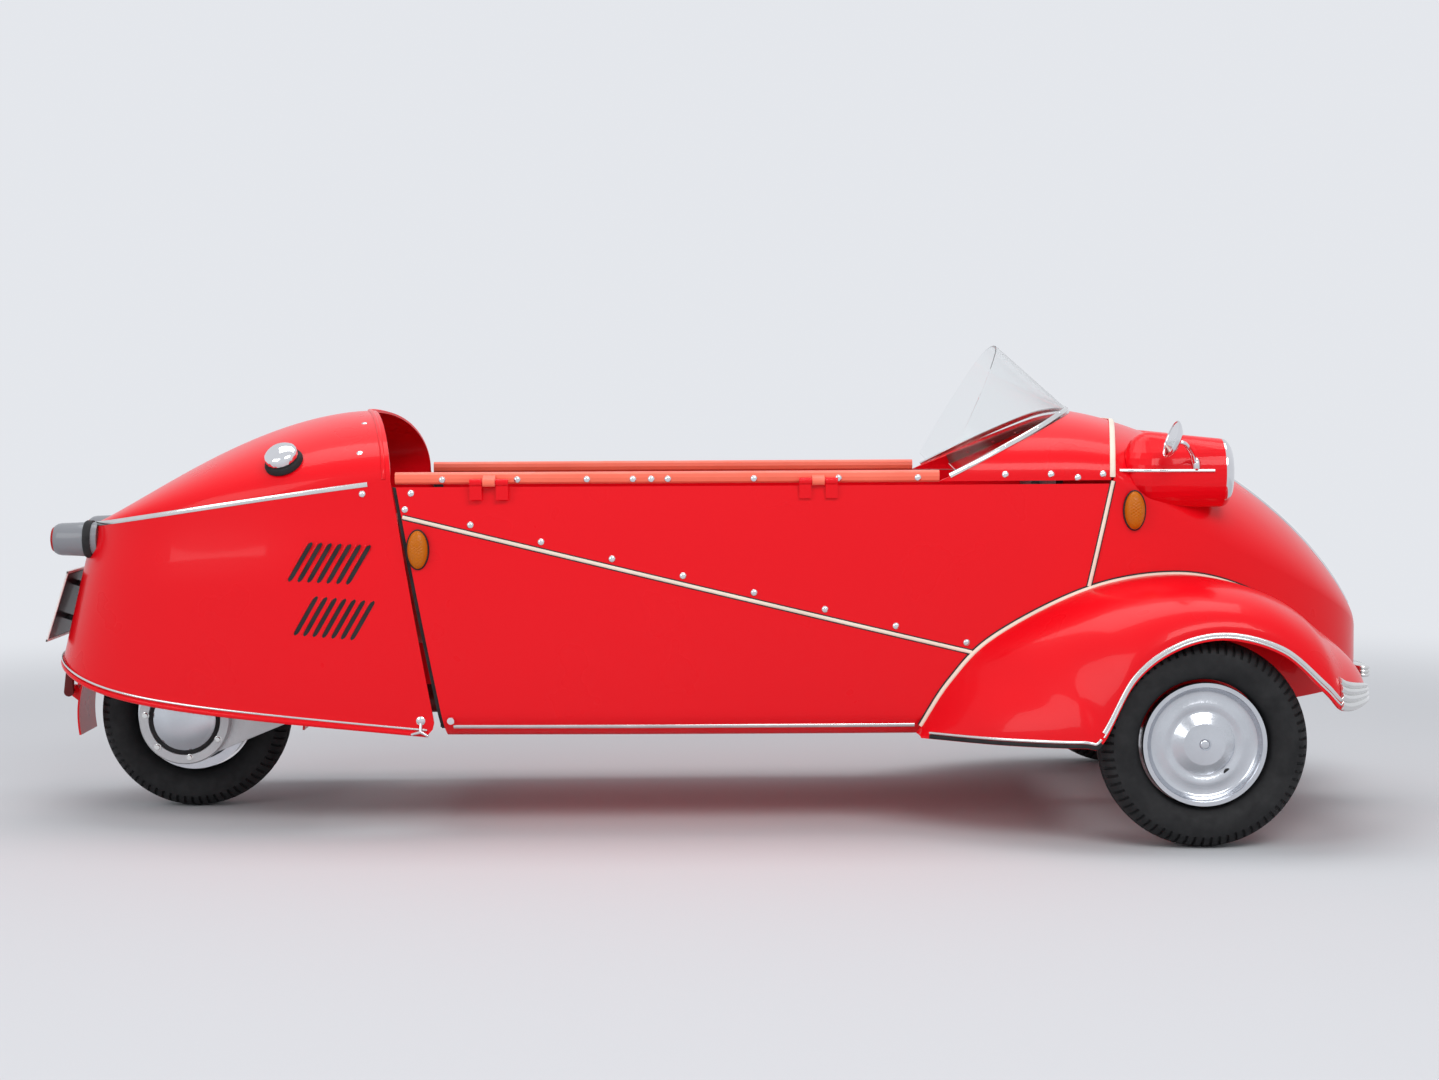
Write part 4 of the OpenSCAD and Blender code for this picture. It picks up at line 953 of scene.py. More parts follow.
@dataclass
class Trim:
    """Beads, strips, studs and louvres on the panels."""

    form: Form = field(default_factory=lambda: FORM)
    bead_w: float = 8.0
    strip_w: float = 10.0
    stud: tuple[tuple[float, float], ...] = ((6.6, -0.5), (6.6, 0.8), (5.2, 2.4), (3.0, 3.3), (0.0, 3.6))
    underlay: float = 3.5

    def piped(self, name: str, path: Array, normals: Array, width: float, height: float, body: str,
              mirror: bool = False) -> None:
        """A cream bead over a thin dark gasket that shows as a fine line on either side of it."""
        over = bead(path, normals, width, height)
        under = bead(path, normals, width + self.underlay, height * 0.4, square=4)
        piece(name, over.mirrored() if mirror else over, CREAM, body)
        piece(f"{name}_gasket", under.mirrored() if mirror else under, BLACK_RUBBER_AND_SHADE, body)

    def diagonal(self) -> None:
        """The bead over the slanting joint on both sides."""
        f = self.form
        x = np.linspace(float(f.cockpit_end(np.array(628.0))) + 2, f.diagonal_front_x + 10, 80)
        path, normals = f.on_side(f.side_y, x, f.diagonal(x) + 1)
        self.piped("right_diagonal_bead", path, normals, self.bead_w, 3.0, "body_shell")
        path, normals = f.on_side(f.side_y, x, f.diagonal(x) - 8)
        self.piped("left_diagonal_bead", path, normals, 5.0, 2.2, "body_shell", mirror=True)

    def nose_seam(self) -> None:
        """The bead along the nose's rear edge: over the arch and the left side on the tilting frame."""
        f = self.form
        low = float(f.fender_seam(np.array(f.seam_x - 50))) + 4
        z = np.linspace(low, f.waist_z - 6, 40)
        path, normals = f.on_side(f.side_y, f.nose_seam(z) - 0.5, z)
        self.piped("right_seam_bead", path, normals, self.bead_w, 3.0, "body_shell")
        path, normals = f.on_side(f.side_y, f.nose_seam(z) - 3, z)
        piece("left_seam_bead", bead(path, normals, 11.0, 1.7, lift=1.9).mirrored(), CREAM, "cockpit_frame")
        a = np.linspace(2.0, 178.0, 160)
        edge = f.scuttle_point(1.0, a)
        e = 0.02
        out = unit(np.cross(f.scuttle_point(1.0, a + 0.4) - edge, edge - f.scuttle_point(1 - e, a)))
        out = np.where(np.sum(out * (edge - np.array([820.0, 0, 640.0])), 1)[:, None] < 0, -out, out)
        ahead = np.array([3.0, 0, 0])
        piece("scuttle_front_bead", bead(edge + ahead, out, 11.0, 1.7, lift=1.9), CREAM, "cockpit_frame")

    def fender_lines(self) -> None:
        """The cream piping along each fender's seam and the bright bead round each wheel opening."""
        f = self.form
        t = np.linspace(0.02, 0.93, 160)
        seam = f.fender_point(t, 0 * t)
        path, normals = f.on_side(f.body_y, seam[:, 0], seam[:, 2])
        up = unit(normals + np.array([0, 0, 0.7]))
        piece("fender_piping", bead(path + normals * 2.6, up, 9.0, 4.0).both(), CREAM, "body_shell")
        piece("fender_piping_gasket", bead(path + normals * 0.6, normals, 14.0, 1.4, square=4).both(), BLACK_RUBBER_AND_SHADE,
              "body_shell")
        t = np.linspace(3.05 / 11, 8.9 / 11, 140)
        edge = f.fender_point(t, 0.953 + 0 * t)
        normals = np.tile(RIGHTWARD, (len(t), 1))
        outer = bead(edge, normals, 8.0, 2.6)
        inner = bead(f.fender_point(t, 0.978 + 0 * t), normals, 4.0, 1.8)
        piece("arch_lips", (outer + inner).both(), TRIM, "body_shell")
        t = np.linspace(0.01, 2.95 / 11, 60)
        edge = f.fender_point(t, 1 + 0 * t)
        tangent = unit(np.gradient(edge, axis=0))
        out = unit(np.cross(tangent, np.array([0.0, 0.0, 1.0])))
        out = to_right(out)
        bright = bead(edge + np.array([0, 0, 12.0]), out, 6.0, 2.4)
        dark = bead(edge + np.array([0, 0, 4.5]), out, 8.0, 2.0, square=4)
        piece("fender_sill_strips", bright.both(), TRIM, "body_shell")
        piece("fender_sill_gaskets", dark.both(), BLACK_RUBBER_AND_SHADE, "body_shell")

    def sill(self) -> None:
        """The bead along each sill."""
        f = self.form
        x = np.linspace(-515, 402, 60)
        path, _ = f.on_side(f.side_y, x, np.full_like(x, f.tub_bottom_z + f.tub_corner))
        drop = math.radians(38)
        centre = path + np.array([0, f.tub_corner, 0])
        out = np.tile(np.array([0.0, -math.cos(drop), -math.sin(drop)]), (len(x), 1))
        piece("sill_beads", bead(centre + out * f.tub_corner, out, 9.0, 2.4).both(), TRIM, "body_shell")

    def led_on(self, path: Array, short: float) -> Array:
        """A lower edge path led on in a straight line to the cowl's front edge.

        Args:
            path: The path, its first point nearest the front.
            short: How far before the edge it ends.

        Returns:
            The path with the added points in front.
        """
        f = self.form
        slope = (path[0, 2] - path[6, 2]) / (path[0, 0] - path[6, 0])
        end = float(f.rear_joint(path[0, 2])) - short
        x = np.linspace(end, path[0, 0], 24)[:-1]
        added, _ = f.on_side(f.cowl_y, x, path[0, 2] + slope * (x - path[0, 0]))
        return np.vstack([added, path])

    def cowl_lines(self) -> None:
        """The strip along the cowl's crease, the bead and roll along its lower edge and its front rim."""
        f = self.form
        for name, span, c, width, height, lift, finish in (
                ("cowl_side_strips", (0.02, 0.93), 0.0, self.strip_w, 2.6, 0.0, TRIM),
                ("cowl_lower_beads", (0.16, 0.995), -1.0, 5.0, 2.4, 15.0, TRIM),
                ("cowl_lower_rolls", (0.16, 0.995), -1.0, 9.0, 3.0, 5.0, RED)):
            s = np.linspace(*span, 120)
            path = f.cowl_rib(s, c + 0 * s) + np.array([0, 0, lift])
            if c < 0:
                path = self.led_on(path, 12.0)
            flat = np.gradient(path, axis=0)
            out = unit(np.stack([flat[:, 1], -flat[:, 0], 0 * flat[:, 0]], -1))
            out = to_right(out)
            piece(name, bead(path - out * 0.4, out, width, height, square=3 if c == 0 else 2).both(), finish,
                  "tail_cowl")
        c = np.linspace(0.03, 1.0, 60)
        s = np.full_like(c, 0.004)
        half = f.cowl_rib(s, c)
        path = both_halves(half[None])[0]
        out = unit(path - np.array([-700.0, 0, 500.0]))
        piece("cowl_front_rim", bead(path, out, 9.0, 3.4), RED, "tail_cowl")

    def studs(self) -> None:
        """Snap studs along the diagonal, the tub's rear edge, the scuttle and the cowl's front edge."""
        f = self.form
        x = np.linspace(-476, 504, 8)
        p, n = f.on_side(f.side_y, x, f.diagonal(x) + 18)
        q, m = f.on_side(f.side_y, np.array([-594.0, -606.0]), np.array([677.0, 645.0]))
        right = studs(np.vstack([p, q]), np.vstack([n, m]), self.stud)
        piece("right_panel_studs", right, CHROME, "body_shell")
        piece("left_panel_studs", right.mirrored(), CHROME, "cockpit_frame")
        a = np.array([4.0, 4.0, 4.2, 1.6])
        v = np.array([0.33, 0.62, 0.95, 0.80])
        s = f.scuttle_point(v, a)
        out = unit(np.cross(f.scuttle_point(v + 0.02, a) - s, f.scuttle_point(v, a + 0.5) - s))
        out = to_right(out)
        piece("scuttle_studs", studs(s, out, self.stud).both(), CHROME, "cockpit_frame")
        p, out = cast_on(("rear_cowl",), np.array([-691.0, -700, -707]), np.array([676.0, 756, 812]))
        out = to_right(out)
        piece("cowl_studs", studs(p, out, self.stud).both(), CHROME, "tail_cowl")

    def louvres(self) -> None:
        """Two banks of seven slanted slots on each side of the cowl.

        Each slot is a dark inlay, painted shade for the open slot, whose half width is a superellipse of the
        place along it, with a thin pressed hood on its rear side, its height the product of two half sines.
        """
        f = self.form
        hoods, slots = [], []
        v = np.linspace(0, 1, 25)[:, None]
        u = np.linspace(-1, 1, 7)[None]
        for x0, z0, step, fall_z in ((-791.0, 582.0, 19.3, -1.0), (-781.0, 475.0, 18.8, -1.6)):
            for k in range(7):
                x = x0 + step * k - 46 * v
                z = z0 + fall_z * k - 79 * v + 0 * u
                half = 4.9 * (1 - np.abs(2 * v - 1) ** 10) ** 0.5
                p, n = f.on_side(f.cowl_y, x + half * u, z)
                # the dark inlay is painted shade where the real slot is open
                slots.append(walled(p + n * 0.5, p - n * 0.8))
                p, n = f.on_side(f.cowl_y, x - 6.7 + 1.9 * u, z)
                h = 2.6 * np.sin(np.pi * v) ** 0.4 * np.maximum(0, 1 - u ** 2) ** 0.5
                hoods.append(walled(p + n * (h[..., None] - 0.4), p - n * 1.2))
        piece("cowl_louvres", joined(hoods).both(), RED, "tail_cowl")
        piece("louvre_slot_shade", joined(slots).both(), BLACK_RUBBER_AND_SHADE, "tail_cowl")

    def nose_strips(self) -> None:
        """The bright strip down the nose's middle and a short strip along each lamp pod."""
        f = self.form
        s = np.linspace(0.14, 0.93, 140)
        path = f.nose_rib(s, 1 + 0 * s)
        path[:, 1] = 0
        tangent = unit(np.gradient(path, axis=0))
        out = unit(np.cross(tangent, np.array([0.0, 1.0, 0.0])))
        out = np.where(out[:, 2:3] < 0, -out, out)
        piece("nose_middle_strip", bead(path, out, 12.0, 3.4, square=2.6), CHROME, "body_shell")
        x = np.linspace(810, 994, 60)
        place, _ = cast_on(("nose_shell", "headlamp_pods"), x, np.full_like(x, 714.0))
        place[:, 1] = np.convolve(np.pad(place[:, 1], 6, mode="edge"), np.ones(13) / 13, "valid")
        out = np.tile(RIGHTWARD, (len(place), 1))
        piece("pod_side_strips", bead(place, out, 7.0, 3.0, lift=0.6).both(), TRIM, "body_shell")

    def mouldings(self) -> None:
        """Ribbed end mouldings on both fenders and the nose: each outer face is a row of half sines."""
        f = self.form
        t = np.linspace(0.97, 0.8, 60)[:, None]
        c = np.linspace(0.8, 1, 41)[None]
        grid = f.fender_point(t, c)
        n = grid_normals(grid)
        rib = np.abs(np.sin(4 * np.pi * (c + 0 * t - 0.8) / 0.2))[..., None]
        shape = walled(grid + n * (2.4 + 4.0 * rib ** 0.7), grid + n * 0.7)
        piece("ribbed_fender_mouldings", shape.both(), TRIM, "body_shell", replaces=["fender_mouldings"],
              sharp=60)
        v = np.linspace(0, 1, 37)[:, None]
        a = np.linspace(0, 2 * math.pi, 64, endpoint=False)[None]
        r = 11.8 + 2.6 * np.abs(np.sin(3 * np.pi * v)) ** 0.7 + 0 * a
        y = 44 * np.sign(np.sin(a)) * np.minimum(1, np.abs(np.sin(a)) * 3)
        bar = np.stack([1373.5 + r * np.cos(a), y + r * np.sin(a), 266 + 24 * v + 0 * a], -1)
        piece("ribbed_nose_moulding", Shape.grid(bar, wrap_v=True, caps=True), TRIM, "body_shell",
              replaces=["nose_moulding"], sharp=60)

    def screen_trim(self) -> None:
        """The strip along the windscreen's base with its screws, and the padded band inside the scuttle."""
        f = self.form
        centre = np.array([560.0, 0, 620.0])
        a = np.linspace(3.0, 177.0, 160)
        path = f.screen_point(0.05, a)
        up = unit(f.screen_point(0.12, a) - path)
        out = unit(np.cross(np.gradient(path, axis=0), up))
        out = np.where(np.sum(out * (path - centre), 1)[:, None] < 0, -out, out)
        piece("screen_base_strip", bead(path, out, 10.5, 2.6, square=3), TRIM, "cockpit_frame")
        k = np.array([6, 20, 36, 54, 70, 89, 105, 123, 139, 153])
        screw = ((3.6, -0.5), (3.6, 0.6), (2.2, 1.6), (0.0, 1.9))
        piece("screen_base_screws", studs(path[k] + out[k] * 2.0, out[k], screw), CHROME, "cockpit_frame")
        a = np.linspace(9, 171, 160)
        path = f.scuttle_point(0.09, a)
        n = unit(np.cross(f.scuttle_point(0.12, a) - path, f.scuttle_point(0.09, a + 0.3) - path))
        n = np.where(np.sum(n * (path - centre), 1)[:, None] > 0, -n, n)
        path = path + n * (f.panel_wall + 0.4)
        piece("scuttle_inner_band", bead(path, n, 24.0, 3.6, square=3), SEAT, "cockpit_frame")
        k = np.arange(6, 156, 12)
        screw = ((4.0, -0.5), (4.0, 0.7), (2.5, 1.7), (0.0, 2.0))
        piece("scuttle_band_screws", studs(path[k] + n[k] * 3.0, n[k], screw), CHROME, "cockpit_frame")

    def rail_studs(self) -> None:
        """Snap studs along each cockpit rail."""
        x = np.array([-532.0, -383, -245, -154, -118, -85, 85, 252, 409])
        place, _ = cast_on(("cockpit_rails",), x, np.full_like(x, 703.0))
        out = np.tile(RIGHTWARD, (len(x), 1))
        piece("rail_studs", studs(place, out, self.stud).both(), CHROME, "cockpit_frame")

    def gap_shade_strips(self) -> None:
        """A black strip inside the gap before the cowl: painted shade that makes the gap look dark."""
        f = self.form
        z = np.linspace(206, 688, 40)[:, None]
        u = np.linspace(-8, 12, 5)[None]
        x = f.cockpit_end(z) + u
        side = f.side_y(x, z)
        corner = np.maximum(0, f.tub_bottom_z + f.tub_corner - z)
        side = side - (f.tub_corner - np.sqrt(np.maximum(0, f.tub_corner ** 2 - corner ** 2)))
        outer = np.stack([x, -(side - 8), z + 0 * u], -1)
        inner = np.stack([x, -(side - 22), z + 0 * u], -1)
        # a dark strip put where the gap lies in shade: painted shade
        piece("cowl_gap_shade_strips", walled(outer, inner).both(), BLACK_RUBBER_AND_SHADE, "body_shell")

    def build(self) -> None:
        """Makes all the trim."""
        for make in (self.diagonal, self.nose_seam, self.fender_lines, self.sill, self.cowl_lines, self.studs,
                     self.louvres, self.nose_strips, self.mouldings, self.screen_trim,
                     self.rail_studs, self.gap_shade_strips):
            make()


@dataclass
class Lamps:
    """Headlamps, indicators, tail lamps, the filler cap, the mirror and the plate."""

    pod: Triple = (1018.0, 304.0, 708.0)
    foot: Triple = (953.0, -368.3, 730.9)
    head: Triple = (904.0, -422.0, 776.0)
    tail: Triple = (-1300.0, 146.0, 577.0)
    dome_half: tuple[float, float] = (20.5, 38.0)
    back_half: tuple[float, float] = (19.0, 36.5)
    plate_corner: Triple = (-1388.0, 0.0, 362.0)
    plate_tilt: float = 18.0
    flutes: int = 18

    def headlamps(self) -> None:
        """A bright bezel, a fluted lens and a reflector in each pod, in place of the plain lamp."""
        x, y, z = self.pod
        at, ahead = np.array([x, -y, z]), np.array([1.0, 0, 0])
        bezel = turned([(65, -6), (67.5, -1), (68, 3), (66, 8), (60, 13.5), (53, 17.5), (50.5, 18), (50, 16),
                        (56, 11), (61, 5), (62, -6)], at, ahead, 72, ring=True)
        lens = turned([(0, 25.6), (8, 25.3), (22, 23.6), (38, 20), (51, 16), (51, 14), (38, 18), (22, 21.6),
                       (8, 23.3), (0, 23.6)], at, ahead, 72)
        bowl = turned([(0, -26), (10, -25), (26, -19), (42, -6), (50, 9), (51.5, 14), (53, 14), (52, 9),
                       (44, -7.5), (27, -21), (10, -27), (0, -28)], at, ahead, 64)
        bulb = turned([(0, -2), (5, -4), (8, -10), (8, -16), (5, -24), (0, -24)], at, ahead, 24)
        piece("headlamp_bezels", bezel.both(), CHROME, "body_shell", replaces=["headlamps"], sharp=60)
        piece("headlamp_lenses", lens.both(), LENS, "body_shell", sharp=70)
        piece("headlamp_bowls", bowl.both(), WHEEL, "body_shell", sharp=70)
        piece("headlamp_bulbs", bulb.both(), PLATE, "body_shell")

    def indicators(self) -> None:
        """Oval amber lenses on dark bases: a dome over an ellipse, rippled by crossed half waves."""
        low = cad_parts["indicators"]
        co = np.array([tuple(low.matrix_world @ v.co) for v in low.data.vertices]) / MM
        lenses, bases = [], []
        for ahead in (True, False):
            mine = co[(co[:, 0] > 0) == ahead]
            right = mine[mine[:, 1] < 0]
            middle = (right.min(0) + right.max(0)) / 2
            foot = right[:, 1].max()
            rho = np.linspace(0, 1, 20)[:, None]
            a = np.linspace(0, 2 * math.pi, 72, endpoint=False)[None]
            dx, dz = self.dome_half[0] * rho * np.cos(a), self.dome_half[1] * rho * np.sin(a)
            ripple = 1.1 * np.sin(2 * np.pi * dz / 6.4) * np.cos(2 * np.pi * dx / 9.0) * (1 - rho ** 6)
            h = 3 + 17 * (1 - rho ** 2.4) ** 0.5 + ripple
            dome = np.stack([middle[0] + dx, foot - h, middle[2] + dz], -1)
            back = np.stack([middle[0] + self.back_half[0] * np.cos(a[0]), 0 * a[0] + foot - 1.5,
                             middle[2] + self.back_half[1] * np.sin(a[0])], -1)
            lenses.append(Shape.grid(np.concatenate([dome, back[None]]), wrap_v=True, caps=True))
            at = np.array([middle[0], foot, middle[2]])
            bases.append(turned([(0, -1.5), (40, -1.5), (40.5, 1.5), (39, 4), (0, 4)], at, RIGHTWARD, 64,
                                0.57))
        piece("indicator_lenses", joined(lenses).both(), AMBER, "body_shell", replaces=["indicators"],
              sharp=60)
        piece("indicator_bases", joined(bases).both(), BLACK_RUBBER_AND_SHADE, "body_shell")

    def tail_lamps(self) -> None:
        """Grey housings with a red lens at the end and a black gasket on the cowl."""
        x, y, z = self.tail
        at, back = np.array([x + 100, -y, z]), np.array([-1.0, 0, 0])
        house = turned([(0, 64), (35, 64), (35.5, 92), (34.5, 110), (33.5, 140), (32, 148), (28.5, 154),
                        (27, 154.5), (26, 152), (0, 152)], at, back, 64)
        lens = turned([(0, 150), (27, 150), (27, 155), (24, 159.5), (14, 162.5), (0, 163.6)], at, back, 64)
        gasket = turned([(33, 76), (38.5, 76), (39, 88), (37, 91.5), (33, 91.5)], at, back, 64, ring=True)
        piece("tail_lamp_housings", house.both(), LAMP_GREY, "tail_cowl", replaces=["tail_lamps"])
        piece("tail_lamp_lenses", lens.both(), RUBY, "tail_cowl")
        piece("tail_lamp_gaskets", gasket.both(), BLACK_RUBBER_AND_SHADE, "tail_cowl")

    def filler(self) -> None:
        """The filler cap with a fluted rim and a thick black gasket."""
        f, s, c, e = FORM, np.array([0.15]), np.array([0.32]), 0.01
        at = f.cowl_rib(s, c)[0]
        n = unit(np.cross(f.cowl_rib(s, c + e)[0] - at, f.cowl_rib(s + e, c)[0] - at))
        n = n if n[2] > 0 else -n
        count = 72
        cap = turned([(30, 3), (30, 10), (31, 12), (33.5, 14), (34, 21), (32, 26), (26, 31), (14, 34.5),
                      (0, 35.6)], at, n, count)
        around = np.arange(len(cap.verts)) % count
        flute = 1 - 0.028 * (np.abs(np.sin(around * math.pi * self.flutes / count)) > 0.8)
        local = cap.verts - at
        high = local @ n
        rim = (high > 12) & (high < 24)
        flat = local - high[:, None] * n
        cap.verts[rim] = (at + high[:, None] * n + flat * flute[:, None])[rim]
        ring = turned([(28, -2), (39, -2), (39.5, 3), (37, 9), (30, 11), (28, 11)], at, n, 64, ring=True)
        piece("filler_lid", cap, CHROME, "tail_cowl", replaces=["filler_cap"])
        piece("filler_gasket", ring, BLACK_RUBBER_AND_SHADE, "tail_cowl")

    def mirror(self) -> None:
        """The mirror: a teardrop foot, a curved stem and an oval head with a bright glass."""
        foot, head = np.array(self.foot), np.array(self.head)
        aim = unit(np.array([-0.93, -0.115, 0.342]))
        shell = turned([(0, -12.5), (12, -11.5), (25, -7.5), (34, -1), (38, 4), (38.5, 6), (36, 7), (35, 5),
                        (0, 5)], head, aim, 56, 0.86)
        glass = turned([(0, 4), (35, 4), (35, 5.6), (0, 5.8)], head, aim, 56, 0.86)
        out = unit(np.array([0.0, -0.935, 0.353]))
        base = turned([(0, -2), (14, -2), (14, 0.5), (12.5, 3), (9, 6), (5, 9), (0, 10)],
                      foot + np.array([5.0, 0, -3]), out, 40, 0.62)
        bend = foot + out * 18 + np.array([-8.0, 0, 12])
        path = smooth_path([foot + out * 2, bend, head - aim * 24, head - aim * 8], 24)
        stem = tube(path, np.linspace(5.5, 4.2, 24))
        piece("mirror_with_stem", shell + base + stem, CHROME, "body_shell", replaces=["door_mirror"])
        piece("mirror_glass", glass, CHROME, "body_shell")

    def plate(self) -> None:
        """The blank plate: white face and rim on a black back with two posts; the back's black is partly its
        paint and partly painted shade for its shadowed side.
        """
        tilt = math.radians(self.plate_tilt)
        c, s = math.cos(tilt), math.sin(tilt)
        turn = np.array([[c, 0.0, -s], [0.0, 1.0, 0.0], [s, 0.0, c]])
        corner = np.array(self.plate_corner)

        def laid(shape: Shape) -> Shape:
            """A shape from the plate's own directions set in place."""
            return Shape(corner + shape.verts @ turn, shape.faces)

        face = block([0.2, -119, 0.5], [2.2, 119, 154.5], 0.8)
        rims = joined([block([0.0, -120, z0], [3.9, 120, z1], 0.8) for z0, z1 in ((0, 6), (149, 155))]
                      + [block([0.0, y0, 0], [3.9, y1, 155], 0.8) for y0, y1 in ((-120, -114), (114, 120))])
        back = block([2.1, -113.5, 6.5], [3.9, 113.5, 148.5], 0.6)
        posts = joined([rod((3, 0, h), (d, 0, h), 13) for h, d in ((45, 34), (120, 70))])
        piece("plate_face", laid(face + rims), PLATE, "tail_cowl", replaces=["number_plate"])
        # black back: partly the plate's own paint, partly painted shade
        piece("plate_back_black_and_shade", laid(back + posts), BLACK, "tail_cowl")

    def build(self) -> None:
        """Makes the lamps, the cap, the mirror and the plate."""
        for make in (self.headlamps, self.indicators, self.tail_lamps, self.filler, self.mirror, self.plate):
            make()


@dataclass
class Wheels:
    """Tyres with tread, and dished discs over the wheels' outer faces."""

    tyre_r: float = 200.0
    tyre_w: float = 104.0
    rim_r: float = 118.0
    front_x: float = 938.0
    rear_x: float = -1098.0
    track_half: float = 540.0
    bead_gap: float = 4.0
    zigzags: int = 54
    slots: int = 72
    groove_depth: float = 5.0
    slot_depth: float = 4.5
    valve_r: float = 72.0
    valve_angle: float = -50.0

    def tyre(self, x: float, y: float) -> Shape:
        """A tyre: a barrel section swept round the axle, with grooves and shoulder slots cut into it.

        The radius drops by the groove depth along two zigzag grooves round the crown, and by the slot
        depth at the slots across each shoulder.
        """
        around, across = 720, 60
        a = np.linspace(0, 2 * math.pi, around, endpoint=False)[:, None]
        q = np.linspace(0, 2 * math.pi, across, endpoint=False)[None]
        half_w = self.tyre_w / 2
        mid_r = (self.tyre_r + self.rim_r + self.bead_gap) / 2
        half_h = (self.tyre_r - self.rim_r - self.bead_gap) / 2
        w = half_w * np.sign(np.cos(q)) * np.abs(np.cos(q)) ** 0.72
        h = half_h * np.sign(np.sin(q)) * np.abs(np.sin(q)) ** 0.62
        foot, shoulder = np.clip(-h / half_h, 0, 1), np.clip((h / half_h - 0.35) / 0.65, 0, 1)
        w = w * (1 - 0.16 * foot - 0.26 * shoulder ** 2)
        crown = np.clip((h / half_h - 0.6) / 0.2, 0, 1)
        zig = 3.2 * (2 * np.abs(((a * self.zigzags / (2 * math.pi)) % 1) * 2 - 1) - 1)
        groove = np.exp(-((np.abs(w) - 13 - zig) / 2.6) ** 4)
        slot_a = (a * self.slots / (2 * math.pi) + 0.2 * np.sign(w)) % 1
        slots = (np.abs(slot_a - 0.5) < 0.14) * np.clip((np.abs(w) - 24) / 4, 0, 1) * (h > 0.42 * half_h)
        r = mid_r + h - self.groove_depth * crown * groove - self.slot_depth * slots
        ribs = 0.9 * (np.sin(h * 1.3) > 0.6) * (np.abs(h) < 0.45 * half_h)
        w = w + np.sign(w) * ribs - np.sign(w) * 2.6 * slots
        points = np.stack([x + r * np.cos(a), y + w + 0 * a, self.tyre_r + r * np.sin(a)], -1)
        return Shape.grid(points, wrap_u=True, wrap_v=True)

    def disc(self, x: float, y: float, side: Side) -> Shape:
        """A polished disc with dished rings, a raised centre and a rolled rim."""
        out = np.array([0.0, side.value, 0.0])
        profile = [(0, 40), (6, 39.6), (9, 38), (10, 35.4), (16, 35), (26, 33.2), (33, 29.4), (38, 25.2),
                   (44, 22.6), (52, 21.8), (60, 22.6), (67, 25), (72, 27.4), (76, 27.8), (80, 26.4),
                   (88, 23.6), (96, 23), (101, 25), (104, 29), (107, 34), (110, 37.4), (112, 36.9),
                   (114.5, 39), (117.5, 39.2), (119, 37), (119, 33), (104, 22.4), (76, 20.8), (0, 20.8)]
        return turned(profile, np.array([x, y, self.tyre_r]), out, 96)

    def valve(self, x: float, y: float, side: Side) -> Shape:
        """A dark disc low on the wheel disc: painted shade standing for the valve opening."""
        a = math.radians(self.valve_angle)
        at = np.array([x + self.valve_r * math.cos(a), y, self.tyre_r + self.valve_r * math.sin(a)])
        out = np.array([0, side.value, 0.0])
        return turned([(0, 23), (8, 23), (8, 25.6), (6.5, 26.2), (0, 26.2)], at, out, 24)

    def build(self) -> None:
        """Makes the three tyres and the discs."""
        for name, x, y, body in (("right_front", self.front_x, -self.track_half, "right_wheel"),
                                 ("left_front", self.front_x, self.track_half, "left_wheel"),
                                 ("rear", self.rear_x, 0.0, "back_wheel")):
            piece(f"{name}_tread", self.tyre(x, y), TYRE, body, replaces=[f"{name}_tyre"], sharp=32)
        for side, body in ((Side.RIGHT, "right_wheel"), (Side.LEFT, "left_wheel")):
            y = side.value * self.track_half
            piece(f"{side.name.lower()}_wheel_disc", self.disc(self.front_x, y, side), WHEEL, body, sharp=50)
            # the valve opening's dark disc is painted shade
            piece(f"{side.name.lower()}_valve_hole_shade", self.valve(self.front_x, y, side), BLACK_RUBBER_AND_SHADE, body)


